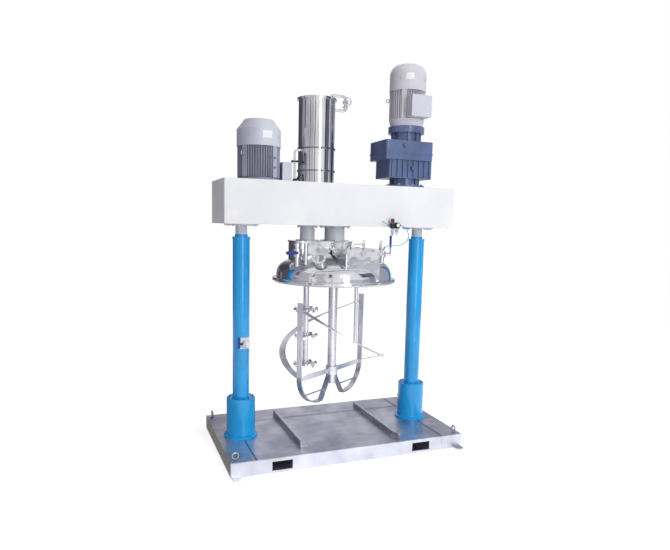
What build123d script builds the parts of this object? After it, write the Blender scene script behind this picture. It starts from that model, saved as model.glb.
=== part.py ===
from build123d import *
import math
import os

os.makedirs("parts", exist_ok=True)

# Twin-shaft mixer on a forkable base: two lifting columns carry a drive beam, and the beam carries
# the pot lid, a toothed-disc disperser and a ribbon frame agitator. Millimetres, +Z up, floor at z = 0.
# X runs along the beam, and the front of the machine looks towards -Y.

# Fits and gaps
RUN = 0.05
SEAT = 0.3

# Base
BASE_L = 2400
BASE_W = 1360
BASE_H = 142
DECK_T = 8
SKIRT_T = 10
FRAME_TOP_T = 6
RIB_T = 10
FORK_X = 722
FORK_W = 195
FORK_H = 85
FORK_Z = 24
FORK_WALL = 12
SEAM = 3
SEAM_BACK_Y = 350
LUG_SET_IN = 50
LUG_X = BASE_L / 2 - LUG_SET_IN
LUG_W = 84
LUG_T = 16
LUG_OUT = 38
LUG_HOLE_R = 13
EYE_SET_IN_X = 55
EYE_SET_IN_Y = 70
EYE_X = BASE_L / 2 - EYE_SET_IN_X
EYE_Y = BASE_W / 2 - EYE_SET_IN_Y
EYE_R = 31
EYE_WIRE_R = 6.5
EYE_COLLAR_R = 15
EYE_COLLAR_H = 8
RAIL_X = 485
RAIL_FRONT_Y = -505
RAIL_BACK_Y = 480
RAIL_H = 54
RAIL_T = 20
RAIL_FOOT_W = 58
RAIL_FOOT_T = 6
RAIL_FLARE_L = 110
RAIL_FLARE_ANGLE = 14
RAIL_BOLT_PITCH = 240
RAIL_BOLTS = 4

# Lifting columns
COL_X = 962
HOUSING_R = 142
HOUSING_TOP = 538
HOUSING_FLANGE_R = 166.5
HOUSING_FLANGE_T = 18
HOUSING_BOLTS = 12
HOUSING_BOLT_PCR = 116
HOUSING_BOLT_R = 8
HOUSING_BOLT_H = 5
TUBE_R = 82
TUBE_BORE_R = 70
TUBE_TOP = 2126
TUBE_RIM_R = 86
TUBE_RIM_H = 22
TUBE_CAP_T = 40
GLAND_R = 62
GLAND_H = 24
TUBE_FIT = 0.2
ROD_R = 45
PISTON_Z = 200
PISTON_H = 60
PISTON_CLEAR = 0.1
COLLAR_R = 56
COUPLING_R = 165
COUPLING_T = 13
COUPLING_BOLTS = 8
COUPLING_BOLT_PCR = 138
SENSOR_Z = 1095

# Beam
BEAM_X0 = -1189
BEAM_X1 = 1198
BEAM_Y = 323
BEAM_Z0 = 2250
BEAM_Z1 = 2657
BEAM_T = 8
BEAM_CORNER = 10

# Disperser drive motor
MOTOR_X = -795
MOTOR_CORE_R = 172
MOTOR_FIN_R = 205
MOTOR_FINS = 52
MOTOR_FIN_T = 5
MOTOR_FIN_Z = 2690
MOTOR_LIP_Z = 2990
MOTOR_SHOULDER_Z = 3135
MOTOR_TOP_R = 138
MOTOR_TOP_Z = 3228
MOTOR_FLANGE_T = 22
MOTOR_PAD_AZ = 35
MOTOR_EYE_AZ = 215
MOTOR_EYE_Z = 2905
MOTOR_SHAFT_R = 28
COWL_T = 4
EYE_BOLT_R = 17
EYE_BOLT_WIRE_R = 5
EYE_BOLT_NECK = 8

# Gear motor and its case
GEAR_X = 785
GEAR_CASE_Z0 = 2752
GEAR_CASE_Z1 = 2935
GEAR_CASE_Z2 = 3126
UPPER_X0 = 464
UPPER_X1 = 1004
UPPER_Y = 200
LOWER_X0 = 519
LOWER_X1 = 1019
LOWER_Y = 180
GEAR_NECK_R = 158
ADAPTOR_Z = 3216
ADAPTOR_R = 188
ADAPTOR_T = 67
BELL_Z = 3354
BELL_R = 165
GM_CORE_R = 156
GM_FIN_R = 184
GM_FINS = 44
GM_FIN_T = 5
GM_PAD_AZ = 53
GM_EYE_AZS = (143, 323)
GM_EYE_Z = 3562
TBOX_W = 224
TBOX_H = 212
TBOX_X = 800
TBOX_FRONT = -290
TBOX_Z = 3462
SMALL_TBOX_X0 = -587
SMALL_TBOX_X1 = -492
SMALL_TBOX_Y = 105
SMALL_TBOX_TOP = 2846
GM_LIP_Z = 3650
GM_SHOULDER_Z = 3802
GM_TOP_R = 120
GM_TOP_Z = 3902
OUT_NECK_R = 158
OUT_FLANGE_R = 210
OUT_FLANGE_T = 29
OUT_SHAFT_R = 40

# Dust canister
CAN_X = -212
CAN_R = 180
CAN_T = 4
CAN_TOP = 3460
CAN_RIM_R = 195
CAN_RIM_T = 20
CAN_DOME_H = 26
BAND_ZS = (2780, 2996)
BAND_R = 191
BAND_H = 14
VENT_X = 90
VENT_PIPE_R = 14
VENT_Z = 3391
VENT_WHEEL_Z = 3477
VENT_WHEEL_R = 38
SIGHT_X = -452
SIGHT_Y = -60
SIGHT_R = 11
SIGHT_CLAMP_Z = 2862

# Shafts
DISP_X = -291
DISP_R = 28
DISP_END_Z = 793
DISP_HOUSING_R = 74
DISP_FLANGE_R = 104
FRAME_X = 3
FRAME_R = 46
FRAME_END_Z = 605
FRAME_HOUSING_R = 102.5
FRAME_FLANGE_R = 160
HOUSING_FLANGE_H = 13
DISC_ZS = (1396, 1122, 828)
DISC_R = 118
DISC_T = 4
TEETH = 16
TOOTH_H = 17
TOOTH_T = 4
HUB_R = 44
HUB_H = 50

# Lid
LID_R = 630
LID_Z = 1690
LID_RIM_T = 34
LID_WALL_R = 590
LID_T = 6
KNUCKLE_R = 150
KNUCKLE_Z = 1750
KNUCKLE_ANGLE = 63
GASKET_R0 = 585
GASKET_R1 = 612
GASKET_T = 10
PED_X0 = -455
PED_X1 = 150
PED_Y = 165
PED_Z = 2095
PED_TOP_T = 14
PED_WALL = 8
PED_CORNER = 70
PORT_X0 = -97
PORT_X1 = 268
PORT_Y0 = -550
PORT_Y1 = -190
PORT_Z = 2022
PORT_WALL = 6
PORT_LIP = 16
PORT_LIP_T = 10
COVER_T = 12
CLAMP_W = 22
CLAMP_T = 14
CLAMP_DROP = 34
CLAMP_REACH = 34
CLAMP_KNOB_R = 13
PIN_R = 5
EAR_T = 7
HANDLE_W = 105
HANDLE_H = 46
HANDLE_R = 6
SIGHT_GLASS_AZ = 234
SIGHT_GLASS_TILT = 42
SIGHT_GLASS_R = 66
SIGHT_NECK_R = 48
SIGHT_NECK_H = 78
PIPE_X = -404
PIPE_Y = -300
PIPE_R = 19
PIPE_TOP = 2078
VALVE_X = -470
VALVE_Y = -235
VALVE_R = 36
VALVE_Z = 1985
RIGHT_X = 415
RIGHT_Y = -275
RIGHT_R = 30
RIGHT_Z = 1975
RIGHT_LEVER_L = 196
PROBE_X = 262
PROBE_R = 18
PROBE_END_Z = 1010
PROBE_COLLAR_H = 34

# Ribbon frame agitator
BAR_AZ = 213
BAR_R = 540
BAR_W = 60
BAR_T = 12
BAR_TOP = 1503
BAR_BEND_R = 300
BAR_BOTTOM = 460
BAR_INNER = 185
RIBBON_R0 = 487
RIBBON_R1 = 552
RIBBON_T = 8
RIBBON_TOP = 1432
RIBBON_END = 748
FRONT_RIBBON_DIP = 80
RIBBON_STEPS = 12
ARM_Z = 742
ARM_H = 48
ARM_T = 14
FRAME_HUB_R = 64
FRAME_HUB_H = 90
TIE_R = 8
TIE_Z = 562

# Belts inside the beam
DISP_BELT_Z = 2470
DISP_BELT_H = 70
MOTOR_PULLEY_R = 105
DISP_PULLEY_R = 88
FRAME_BELT_Z = 2330
FRAME_BELT_H = 60
GEAR_PULLEY_R = 95
FRAME_PULLEY_R = 150
BELT_T = 8

# Air unit on the beam's front edge
AIR_X = 500
AIR_Y = -372
AIR_Z = 2260
AIR_W = 46
BOWL_R = 18
BOWL_H = 58
HOSE_R = 4
HOSE_LAST = (402, -338, 2018)
HOSE_TAIL = (412, -342, 2045)
BARB_L = 20


def finish(piece, name):
    """Label a finished sub-part and write its file."""
    piece.part.label = name
    export_step(piece.part, f"parts/{name}.step")


def bar_points(radius, count, start=0.0):
    """Points on a circle, as (x, y) pairs."""
    turns = [math.radians(start + 360 * i / count) for i in range(count)]
    return [(radius * math.cos(t), radius * math.sin(t)) for t in turns]


# Base frame: skirts, cross ribs and two fork tunnels that run from front to back
FRAME_TOP = BASE_H - DECK_T
FORK_BEAM_W = FORK_W + 2 * FORK_WALL
inner_bay_w = 2 * FORK_X - FORK_BEAM_W
outer_bay_w = BASE_L / 2 - SKIRT_T - FORK_X - FORK_BEAM_W / 2
outer_bay_x = FORK_X + FORK_BEAM_W / 2 + outer_bay_w / 2
bay_d = BASE_W / 2 - SKIRT_T - RIB_T / 2
bay_y = RIB_T / 2 + bay_d / 2
with BuildPart() as base_frame:
    with BuildSketch():
        Rectangle(BASE_L, BASE_W)
    extrude(amount=FRAME_TOP)
    with BuildSketch():
        for bay_x, bay_w in ((0, inner_bay_w), (outer_bay_x, outer_bay_w), (-outer_bay_x, outer_bay_w)):
            with Locations((bay_x, bay_y), (bay_x, -bay_y)):
                Rectangle(bay_w, bay_d)
    extrude(amount=FRAME_TOP - FRAME_TOP_T, mode=Mode.SUBTRACT)
    with BuildSketch(Plane.XZ.offset(BASE_W / 2)):
        with Locations((FORK_X, FORK_Z + FORK_H / 2), (-FORK_X, FORK_Z + FORK_H / 2)):
            Rectangle(FORK_W, FORK_H)
    extrude(amount=-BASE_W, mode=Mode.SUBTRACT)
    with BuildSketch(Plane.XZ.offset(BASE_W / 2)):
        with Locations((COL_X, FRAME_TOP / 2), (-COL_X, FRAME_TOP / 2)):
            Rectangle(SEAM, FRAME_TOP)
    extrude(amount=-2, mode=Mode.SUBTRACT)
finish(base_frame, "base_frame")

# Deck plates, with open seams on the columns' centre lines and one along the back
with BuildPart() as deck_plates:
    with BuildSketch(Plane.XY.offset(FRAME_TOP)):
        Rectangle(BASE_L, BASE_W)
        with Locations((COL_X, 0), (-COL_X, 0)):
            Rectangle(SEAM, BASE_W, mode=Mode.SUBTRACT)
        with Locations((0, SEAM_BACK_Y)):
            Rectangle(2 * COL_X, SEAM, mode=Mode.SUBTRACT)
    extrude(amount=DECK_T)
finish(deck_plates, "deck_plates")

# Guide rails for the pot: bolted bars with a foot, the right one flared outwards at the front
rail_l = RAIL_BACK_Y - RAIL_FRONT_Y
bolt_head_r = 9
bolt_head_h = 8
rail_bolt_ys = [RAIL_FRONT_Y + 140 + RAIL_BOLT_PITCH * i for i in range(RAIL_BOLTS)]
rail_bolt_dx = RAIL_T / 2 + RAIL_FOOT_W / 2
rail_mid_y = (RAIL_FRONT_Y + RAIL_BACK_Y) / 2
with BuildPart() as guide_rails:
    with BuildSketch(Plane.XY.offset(BASE_H)):
        with Locations((-RAIL_X, rail_mid_y), (RAIL_X, rail_mid_y)):
            Rectangle(RAIL_T, rail_l)
        with Locations(Location((RAIL_X - RAIL_T / 2, RAIL_FRONT_Y, 0), RAIL_FLARE_ANGLE)):
            Rectangle(RAIL_T, RAIL_FLARE_L, align=(Align.MIN, Align.MAX))
    extrude(amount=RAIL_H)
    chamfer(guide_rails.faces().group_by(Axis.Z)[-1].edges(), 2)
    with BuildSketch(Plane.XY.offset(BASE_H)):
        with Locations((-RAIL_X + RAIL_T / 2, rail_mid_y), (RAIL_X + RAIL_T / 2, rail_mid_y)):
            Rectangle(RAIL_FOOT_W, rail_l, align=(Align.MIN, Align.CENTER))
    extrude(amount=RAIL_FOOT_T)
finish(guide_rails, "guide_rails")

# Hexagon heads on the rail feet, and cap screws round the top of the column housings
with BuildPart() as base_bolts:
    with BuildSketch(Plane.XY.offset(BASE_H + RAIL_FOOT_T)):
        for rail_x in (-RAIL_X, RAIL_X):
            with Locations(*[(rail_x + rail_bolt_dx, y) for y in rail_bolt_ys]):
                RegularPolygon(bolt_head_r, 6)
    extrude(amount=bolt_head_h)
    for column_x in (-COL_X, COL_X):
        with BuildSketch(Plane.XY.offset(HOUSING_TOP)):
            with Locations(*[(column_x + x, y) for x, y in bar_points(HOUSING_BOLT_PCR, HOUSING_BOLTS)]):
                RegularPolygon(HOUSING_BOLT_R, 8)
        extrude(amount=HOUSING_BOLT_H)
finish(base_bolts, "base_bolts")

# Lifting eyes near the deck's corners
with BuildPart() as lifting_eyes:
    for x in (-EYE_X, EYE_X):
        for y in (-EYE_Y, EYE_Y):
            with Locations((x, y, BASE_H)):
                Cylinder(EYE_COLLAR_R, EYE_COLLAR_H, align=(Align.CENTER, Align.CENTER, Align.MIN))
            with Locations(Location((x, y, BASE_H + EYE_COLLAR_H + EYE_R), (90, 0, 0))):
                Torus(EYE_R, EYE_WIRE_R)
finish(lifting_eyes, "lifting_eyes")

# Anchor lugs on the floor at the four corners
with BuildPart() as anchor_lugs:
    with BuildSketch():
        for x in (-LUG_X, LUG_X):
            for side in (-1, 1):
                edge = side * BASE_W / 2
                hole = edge + side * LUG_OUT
                with Locations((x, (edge + hole) / 2)):
                    Rectangle(LUG_W, LUG_OUT)
                with Locations((x, hole)):
                    Circle(LUG_W / 2)
        Rectangle(BASE_L, BASE_W, mode=Mode.SUBTRACT)
        for x in (-LUG_X, LUG_X):
            for side in (-1, 1):
                with Locations((x, side * (BASE_W / 2 + LUG_OUT))):
                    Circle(LUG_HOLE_R, mode=Mode.SUBTRACT)
    extrude(amount=LUG_T)
finish(anchor_lugs, "anchor_lugs")

# Column housings and tubes
for name, x in (("left", -COL_X), ("right", COL_X)):
    with BuildPart() as housing:
        with BuildSketch(Plane.XZ):
            with BuildLine():
                Polyline(
                    (TUBE_R + TUBE_FIT, BASE_H),
                    (HOUSING_FLANGE_R, BASE_H),
                    (HOUSING_FLANGE_R, BASE_H + HOUSING_FLANGE_T),
                    (HOUSING_R, BASE_H + HOUSING_FLANGE_T + 6),
                    (HOUSING_R, HOUSING_TOP - 8),
                    (HOUSING_R - 8, HOUSING_TOP),
                    (TUBE_R + TUBE_FIT, HOUSING_TOP),
                    close=True,
                )
            make_face()
        revolve(axis=Axis.Z)
    housing.part.locate(Location((x, 0, 0)))
    finish(housing, f"column_housing_{name}")
    with BuildPart() as tube:
        with BuildSketch(Plane.XZ):
            with BuildLine():
                Polyline(
                    (TUBE_BORE_R, BASE_H),
                    (TUBE_R, BASE_H),
                    (TUBE_R, TUBE_TOP - TUBE_RIM_H),
                    (TUBE_RIM_R, TUBE_TOP - TUBE_RIM_H),
                    (TUBE_RIM_R, TUBE_TOP),
                    (GLAND_R, TUBE_TOP),
                    (GLAND_R, TUBE_TOP + GLAND_H),
                    (ROD_R + RUN, TUBE_TOP + GLAND_H),
                    (ROD_R + RUN, TUBE_TOP - TUBE_CAP_T),
                    (TUBE_BORE_R, TUBE_TOP - TUBE_CAP_T),
                    close=True,
                )
            make_face()
        revolve(axis=Axis.Z)
    tube.part.locate(Location((x, 0, 0)))
    finish(tube, f"column_tube_{name}")
    with BuildPart() as rod:
        with BuildSketch(Plane.XZ):
            with BuildLine():
                collar_z = TUBE_TOP + GLAND_H + SEAT
                Polyline(
                    (0, PISTON_Z),
                    (TUBE_BORE_R - PISTON_CLEAR, PISTON_Z),
                    (TUBE_BORE_R - PISTON_CLEAR, PISTON_Z + PISTON_H),
                    (ROD_R, PISTON_Z + PISTON_H),
                    (ROD_R, collar_z),
                    (COLLAR_R, collar_z),
                    (COLLAR_R, BEAM_Z0 - COUPLING_T),
                    (COUPLING_R, BEAM_Z0 - COUPLING_T),
                    (COUPLING_R, BEAM_Z0),
                    (0, BEAM_Z0),
                    close=True,
                )
            make_face()
        revolve(axis=Axis.Z)
    rod.part.locate(Location((x, 0, 0)))
    finish(rod, f"lift_rod_{name}")

# Limit switch on the left column: a clamp plate, the switch body and its roller arm
switch_front = -TUBE_R - SEAT
with BuildPart() as limit_switch:
    with Locations((-COL_X, switch_front - 4, SENSOR_Z)):
        Box(96, 8, 60)
    with Locations((-COL_X - 18, switch_front - 26, SENSOR_Z)):
        Box(40, 36, 84)
    with Locations((-COL_X + 28, switch_front - 20, SENSOR_Z + 8)):
        Box(28, 24, 40)
    with Locations((-COL_X - 18, switch_front - 26, SENSOR_Z + 42)):
        Cylinder(8, 22, align=(Align.CENTER, Align.CENTER, Align.MIN))
finish(limit_switch, "limit_switch")

# Beam: a folded shell, open below, with the drive openings, and a bottom plate that closes it
beam_cx = (BEAM_X0 + BEAM_X1) / 2
beam_l = BEAM_X1 - BEAM_X0
SHAFT_HOLE_CLEAR = 6
with BuildPart() as beam_shell:
    with BuildSketch(Plane.XY.offset(BEAM_Z0)):
        with Locations((beam_cx, 0)):
            Rectangle(beam_l, 2 * BEAM_Y)
    extrude(amount=BEAM_Z1 - BEAM_Z0)
    fillet(beam_shell.edges().filter_by(Axis.Z), BEAM_CORNER)
    offset(amount=-BEAM_T, openings=beam_shell.faces().sort_by(Axis.Z)[0])
    with BuildSketch(Plane.XY.offset(BEAM_Z1)):
        with Locations((MOTOR_X, 0)):
            Circle(MOTOR_SHAFT_R + SHAFT_HOLE_CLEAR)
        with Locations((GEAR_X, 0)):
            Circle(OUT_SHAFT_R + SHAFT_HOLE_CLEAR)
    extrude(amount=-2 * BEAM_T, mode=Mode.SUBTRACT)
finish(beam_shell, "beam_shell")

with BuildPart() as beam_bottom:
    with BuildSketch(Plane.XY.offset(BEAM_Z0)):
        with Locations((beam_cx, 0)):
            RectangleRounded(beam_l - 2 * BEAM_T, 2 * (BEAM_Y - BEAM_T), BEAM_CORNER)
        with Locations((DISP_X, 0)):
            Circle(DISP_R + SHAFT_HOLE_CLEAR, mode=Mode.SUBTRACT)
        with Locations((FRAME_X, 0)):
            Circle(FRAME_R + SHAFT_HOLE_CLEAR, mode=Mode.SUBTRACT)
    extrude(amount=BEAM_T)
finish(beam_bottom, "beam_bottom")

# Disperser motor: finned body with two smooth pads, flange and a shaft bore
FIN_PAD_W = 54
PAD_SET_BACK = 2
with BuildPart() as motor:
    with BuildSketch(Plane.XY.offset(BEAM_Z1)):
        with Locations((MOTOR_X, 0)):
            Circle(MOTOR_FIN_R)
    extrude(amount=MOTOR_FLANGE_T)
    with BuildSketch(Plane.XY.offset(BEAM_Z1 + MOTOR_FLANGE_T)):
        with Locations((MOTOR_X, 0)):
            Circle(MOTOR_CORE_R)
    extrude(amount=MOTOR_LIP_Z - BEAM_Z1 - MOTOR_FLANGE_T)
    with BuildSketch(Plane.XY.offset(MOTOR_FIN_Z)):
        with Locations((MOTOR_X, 0)):
            with PolarLocations(MOTOR_CORE_R - 4, MOTOR_FINS):
                Rectangle(MOTOR_FIN_R - MOTOR_CORE_R + 4 - PAD_SET_BACK, MOTOR_FIN_T, align=(Align.MIN, Align.CENTER))
            with PolarLocations(MOTOR_CORE_R - 4, 4, start_angle=MOTOR_PAD_AZ):
                Rectangle(MOTOR_FIN_R - MOTOR_CORE_R + 4 - PAD_SET_BACK, FIN_PAD_W, align=(Align.MIN, Align.CENTER))
    extrude(amount=MOTOR_LIP_Z - MOTOR_FIN_Z - COWL_T)
    with BuildSketch(Plane.XY.offset(BEAM_Z1)):
        with Locations((MOTOR_X, 0)):
            Circle(MOTOR_SHAFT_R + RUN)
    extrude(amount=MOTOR_LIP_Z - BEAM_Z1, mode=Mode.SUBTRACT)
finish(motor, "disperser_motor")


def cowl(x, lip_z, cowl_r, shoulder_z, top_r, top_z, skirt, round_top):
    """Fan cowl: a thin turned shell with a ring of air slots in its top."""
    with BuildPart() as shell:
        with BuildSketch(Plane.XZ):
            with BuildLine():
                Polyline((cowl_r - COWL_T, lip_z - skirt), (cowl_r, lip_z - skirt), (cowl_r, shoulder_z))
                if round_top:
                    ThreePointArc(
                        (cowl_r, shoulder_z),
                        ((cowl_r + top_r) / 2 + 14, (shoulder_z + top_z) / 2 + 14),
                        (top_r, top_z),
                    )
                    Polyline((top_r, top_z), (0, top_z), (0, top_z - COWL_T), (top_r - COWL_T, top_z - COWL_T))
                    ThreePointArc(
                        (top_r - COWL_T, top_z - COWL_T),
                        ((cowl_r + top_r) / 2 + 14 - COWL_T, (shoulder_z + top_z) / 2 + 14 - COWL_T),
                        (cowl_r - COWL_T, shoulder_z - COWL_T / 2),
                    )
                else:
                    Polyline(
                        (cowl_r, shoulder_z),
                        (top_r, top_z),
                        (0, top_z),
                        (0, top_z - COWL_T),
                        (top_r - COWL_T, top_z - COWL_T),
                        (cowl_r - COWL_T, shoulder_z - COWL_T / 2),
                    )
                Line((cowl_r - COWL_T, shoulder_z - COWL_T / 2), (cowl_r - COWL_T, lip_z - skirt))
            make_face()
        revolve(axis=Axis.Z)
        with BuildSketch(Plane.XY.offset(top_z)):
            with PolarLocations(top_r * 0.62, 16):
                SlotOverall(top_r * 0.5, 9)
        extrude(amount=-2 * COWL_T, mode=Mode.SUBTRACT)
    shell.part.locate(Location((x, 0, 0)))
    return shell


COWL_LAP = 12
motor_cowl = cowl(
    MOTOR_X, MOTOR_LIP_Z, MOTOR_FIN_R + SEAT + COWL_T, MOTOR_SHOULDER_Z, MOTOR_TOP_R, MOTOR_TOP_Z, COWL_LAP, False
)
finish(motor_cowl, "disperser_motor_cowl")

# Motor rotor: shaft, fan under the cowl and the drive pulley inside the beam
FAN_Z = MOTOR_LIP_Z + 30
FAN_H = 60
FAN_R = 165
with BuildPart() as rotor:
    with Locations((MOTOR_X, 0, DISP_BELT_Z - DISP_BELT_H)):
        Cylinder(
            MOTOR_SHAFT_R,
            FAN_Z + FAN_H - DISP_BELT_Z + DISP_BELT_H,
            align=(Align.CENTER, Align.CENTER, Align.MIN),
        )
    with Locations((MOTOR_X, 0, DISP_BELT_Z)):
        Cylinder(MOTOR_PULLEY_R, DISP_BELT_H)
    with Locations((MOTOR_X, 0, FAN_Z)):
        Cylinder(60, FAN_H, align=(Align.CENTER, Align.CENTER, Align.MIN))
    with BuildSketch(Plane.XY.offset(FAN_Z)):
        with Locations((MOTOR_X, 0)):
            with PolarLocations(50, 8):
                Rectangle(FAN_R - 50, 5, align=(Align.MIN, Align.CENTER))
    extrude(amount=FAN_H)
finish(rotor, "motor_rotor")

# Gear motor body on its end bell, with the adaptor flange below
with BuildPart() as gear_motor:
    with BuildSketch(Plane.XZ):
        with BuildLine():
            Polyline(
                (0, ADAPTOR_Z + SEAM),
                (ADAPTOR_R, ADAPTOR_Z + SEAM),
                (ADAPTOR_R, ADAPTOR_Z + ADAPTOR_T),
                (BELL_R, ADAPTOR_Z + ADAPTOR_T + 6),
                (GM_FIN_R, BELL_Z),
                (GM_CORE_R, BELL_Z + 6),
                (GM_CORE_R, GM_LIP_Z),
                (0, GM_LIP_Z),
                close=True,
            )
        make_face()
    revolve(axis=Axis.Z)
    with BuildSketch(Plane.XY.offset(BELL_Z)):
        with PolarLocations(GM_CORE_R - 4, GM_FINS):
            Rectangle(GM_FIN_R - GM_CORE_R + 4 - PAD_SET_BACK, GM_FIN_T, align=(Align.MIN, Align.CENTER))
        with PolarLocations(GM_CORE_R - 4, 4, start_angle=GM_PAD_AZ):
            Rectangle(GM_FIN_R - GM_CORE_R + 4 - PAD_SET_BACK, FIN_PAD_W, align=(Align.MIN, Align.CENTER))
    extrude(amount=GM_LIP_Z - BELL_Z - COWL_T)
    with Locations((TBOX_X - GEAR_X, -GM_FIN_R, TBOX_Z)):
        Box(TBOX_W * 0.6, GM_FIN_R / 2, TBOX_H * 0.75, align=(Align.CENTER, Align.MIN, Align.CENTER))
gear_motor.part.locate(Location((GEAR_X, 0, 0)))
finish(gear_motor, "gear_motor")

gear_cowl = cowl(
    GEAR_X, GM_LIP_Z, GM_FIN_R + SEAT + COWL_T, GM_SHOULDER_Z, GM_TOP_R, GM_TOP_Z, COWL_LAP, True
)
finish(gear_cowl, "gear_motor_cowl")

# Terminal boxes of both motors, each a body with a lid rim and a cable gland
with BuildPart() as terminal_boxes:
    with Locations((TBOX_X, TBOX_FRONT, TBOX_Z)):
        Box(TBOX_W, -GM_FIN_R - TBOX_FRONT, TBOX_H, align=(Align.CENTER, Align.MIN, Align.CENTER))
    fillet(terminal_boxes.edges().filter_by(Axis.Y), 10)
    with Locations(Location((TBOX_X + TBOX_W / 2, TBOX_FRONT + 60, TBOX_Z + 20), (0, 90, 0))):
        Cylinder(16, 24, align=(Align.CENTER, Align.CENTER, Align.MIN))
    with Locations((SMALL_TBOX_X0, 0, BEAM_Z1)):
        Box(
            SMALL_TBOX_X1 - SMALL_TBOX_X0,
            2 * SMALL_TBOX_Y,
            SMALL_TBOX_TOP - BEAM_Z1,
            align=(Align.MIN, Align.CENTER, Align.MIN),
        )
finish(terminal_boxes, "terminal_boxes")

# Gear case: two staggered housings with ribs and plugs, a ribbed neck above and a flanged neck below
CASE_FILLET = 22
RIB_STEP = 62
RIB_D = 14
RIB_W = 16
upper_cx = (UPPER_X0 + UPPER_X1) / 2
lower_cx = (LOWER_X0 + LOWER_X1) / 2
with BuildPart() as gearcase:
    with BuildSketch(Plane.XY.offset(GEAR_CASE_Z0)):
        with Locations((lower_cx, 0)):
            RectangleRounded(LOWER_X1 - LOWER_X0, 2 * (LOWER_Y - RIB_D), CASE_FILLET)
    extrude(amount=GEAR_CASE_Z1 - GEAR_CASE_Z0)
    with BuildSketch(Plane.XY.offset(GEAR_CASE_Z0 + 14)):
        with Locations((lower_cx, 0)):
            with GridLocations(RIB_STEP, 0, 8, 1):
                Rectangle(RIB_W, 2 * LOWER_Y)
    extrude(amount=GEAR_CASE_Z1 - GEAR_CASE_Z0 - 14)
    with BuildSketch(Plane.XY.offset(GEAR_CASE_Z1)):
        with Locations((upper_cx, 0)):
            RectangleRounded(UPPER_X1 - UPPER_X0, 2 * UPPER_Y, CASE_FILLET)
    extrude(amount=GEAR_CASE_Z2 - GEAR_CASE_Z1)
    with BuildSketch(Plane.XY.offset(GEAR_CASE_Z1 + 60)):
        with Locations((upper_cx, 0)):
            RectangleRounded(UPPER_X1 - UPPER_X0 + 8, 2 * UPPER_Y + 8, CASE_FILLET)
    extrude(amount=16)
    with BuildSketch(Plane.XY.offset(GEAR_CASE_Z2)):
        with Locations((GEAR_X, 0)):
            Circle(GEAR_NECK_R - 20)
            with PolarLocations(GEAR_NECK_R - 24, 10):
                Rectangle(24, 16, align=(Align.MIN, Align.CENTER))
    extrude(amount=ADAPTOR_Z + SEAM - GEAR_CASE_Z2)
    with BuildSketch(Plane.XY.offset(BEAM_Z1)):
        with Locations((GEAR_X, 0)):
            Circle(OUT_NECK_R - 22)
            with PolarLocations(OUT_NECK_R - 26, 8, start_angle=22.5):
                Rectangle(26, 16, align=(Align.MIN, Align.CENTER))
    extrude(amount=GEAR_CASE_Z0 - BEAM_Z1)
    with BuildSketch(Plane.XY.offset(BEAM_Z1)):
        with Locations((GEAR_X, 0)):
            Circle(OUT_FLANGE_R)
    extrude(amount=OUT_FLANGE_T)
    for plug_x, plug_y, plug_z in ((675, -UPPER_Y, 3078), (783, -LOWER_Y, 2856)):
        with Locations(Location((plug_x, plug_y, plug_z), (90, 0, 0))):
            Cylinder(20, 2 * RIB_D + 8)
    with BuildSketch(Plane.XY.offset(BEAM_Z1)):
        with Locations((GEAR_X, 0)):
            Circle(OUT_SHAFT_R + RUN)
    extrude(amount=GEAR_CASE_Z0 + 40 - BEAM_Z1, mode=Mode.SUBTRACT)
finish(gearcase, "gearcase")

# Output shaft of the gear case with its toothed-belt pulley inside the beam
with BuildPart() as gear_output:
    with Locations((GEAR_X, 0, FRAME_BELT_Z - FRAME_BELT_H / 2)):
        Cylinder(
            OUT_SHAFT_R,
            GEAR_CASE_Z0 + 30 - FRAME_BELT_Z + FRAME_BELT_H / 2,
            align=(Align.CENTER, Align.CENTER, Align.MIN),
        )
        Cylinder(GEAR_PULLEY_R, FRAME_BELT_H, align=(Align.CENTER, Align.CENTER, Align.MIN))
finish(gear_output, "gear_output")


def belt(x0, r0, x1, r1, z, height, name):
    """Flat loop round two pulleys, as the region between two offset outlines."""
    span = x1 - x0
    lean = math.asin((r0 - r1) / span)
    outlines = []
    for extra in (BELT_T + SEAT, SEAT):
        with BuildSketch(Plane.XY.offset(z - height / 2)) as outline:
            with Locations((x0, 0)):
                Circle(r0 + extra)
            with Locations((x1, 0)):
                Circle(r1 + extra)
            top = [
                (x0 + (r0 + extra) * math.sin(lean), (r0 + extra) * math.cos(lean)),
                (x1 + (r1 + extra) * math.sin(lean), (r1 + extra) * math.cos(lean)),
            ]
            with BuildLine():
                Polyline(top[0], top[1], (top[1][0], -top[1][1]), (top[0][0], -top[0][1]), close=True)
            make_face()
        outlines.append(outline.sketch)
    with BuildPart() as loop:
        extrude(outlines[0], amount=height)
        extrude(outlines[1], amount=height, mode=Mode.SUBTRACT)
    finish(loop, name)


belt(MOTOR_X, MOTOR_PULLEY_R, DISP_X, DISP_PULLEY_R, DISP_BELT_Z, DISP_BELT_H - 4, "disperser_belt")
belt(FRAME_X, FRAME_PULLEY_R, GEAR_X, GEAR_PULLEY_R, FRAME_BELT_Z, FRAME_BELT_H - 4, "frame_belt")

# Canister: a thin sheet shell on a foot ring, its lid with a low dome, and two clamp bands
with BuildPart() as canister:
    with BuildSketch(Plane.XZ):
        with BuildLine():
            Polyline(
                (0, BEAM_Z1),
                (CAN_R, BEAM_Z1),
                (CAN_R, CAN_TOP),
                (CAN_R - CAN_T, CAN_TOP),
                (CAN_R - CAN_T, BEAM_Z1 + CAN_T),
                (0, BEAM_Z1 + CAN_T),
                close=True,
            )
        make_face()
    revolve(axis=Axis.Z)
canister.part.locate(Location((CAN_X, 0, 0)))
finish(canister, "canister")

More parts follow.
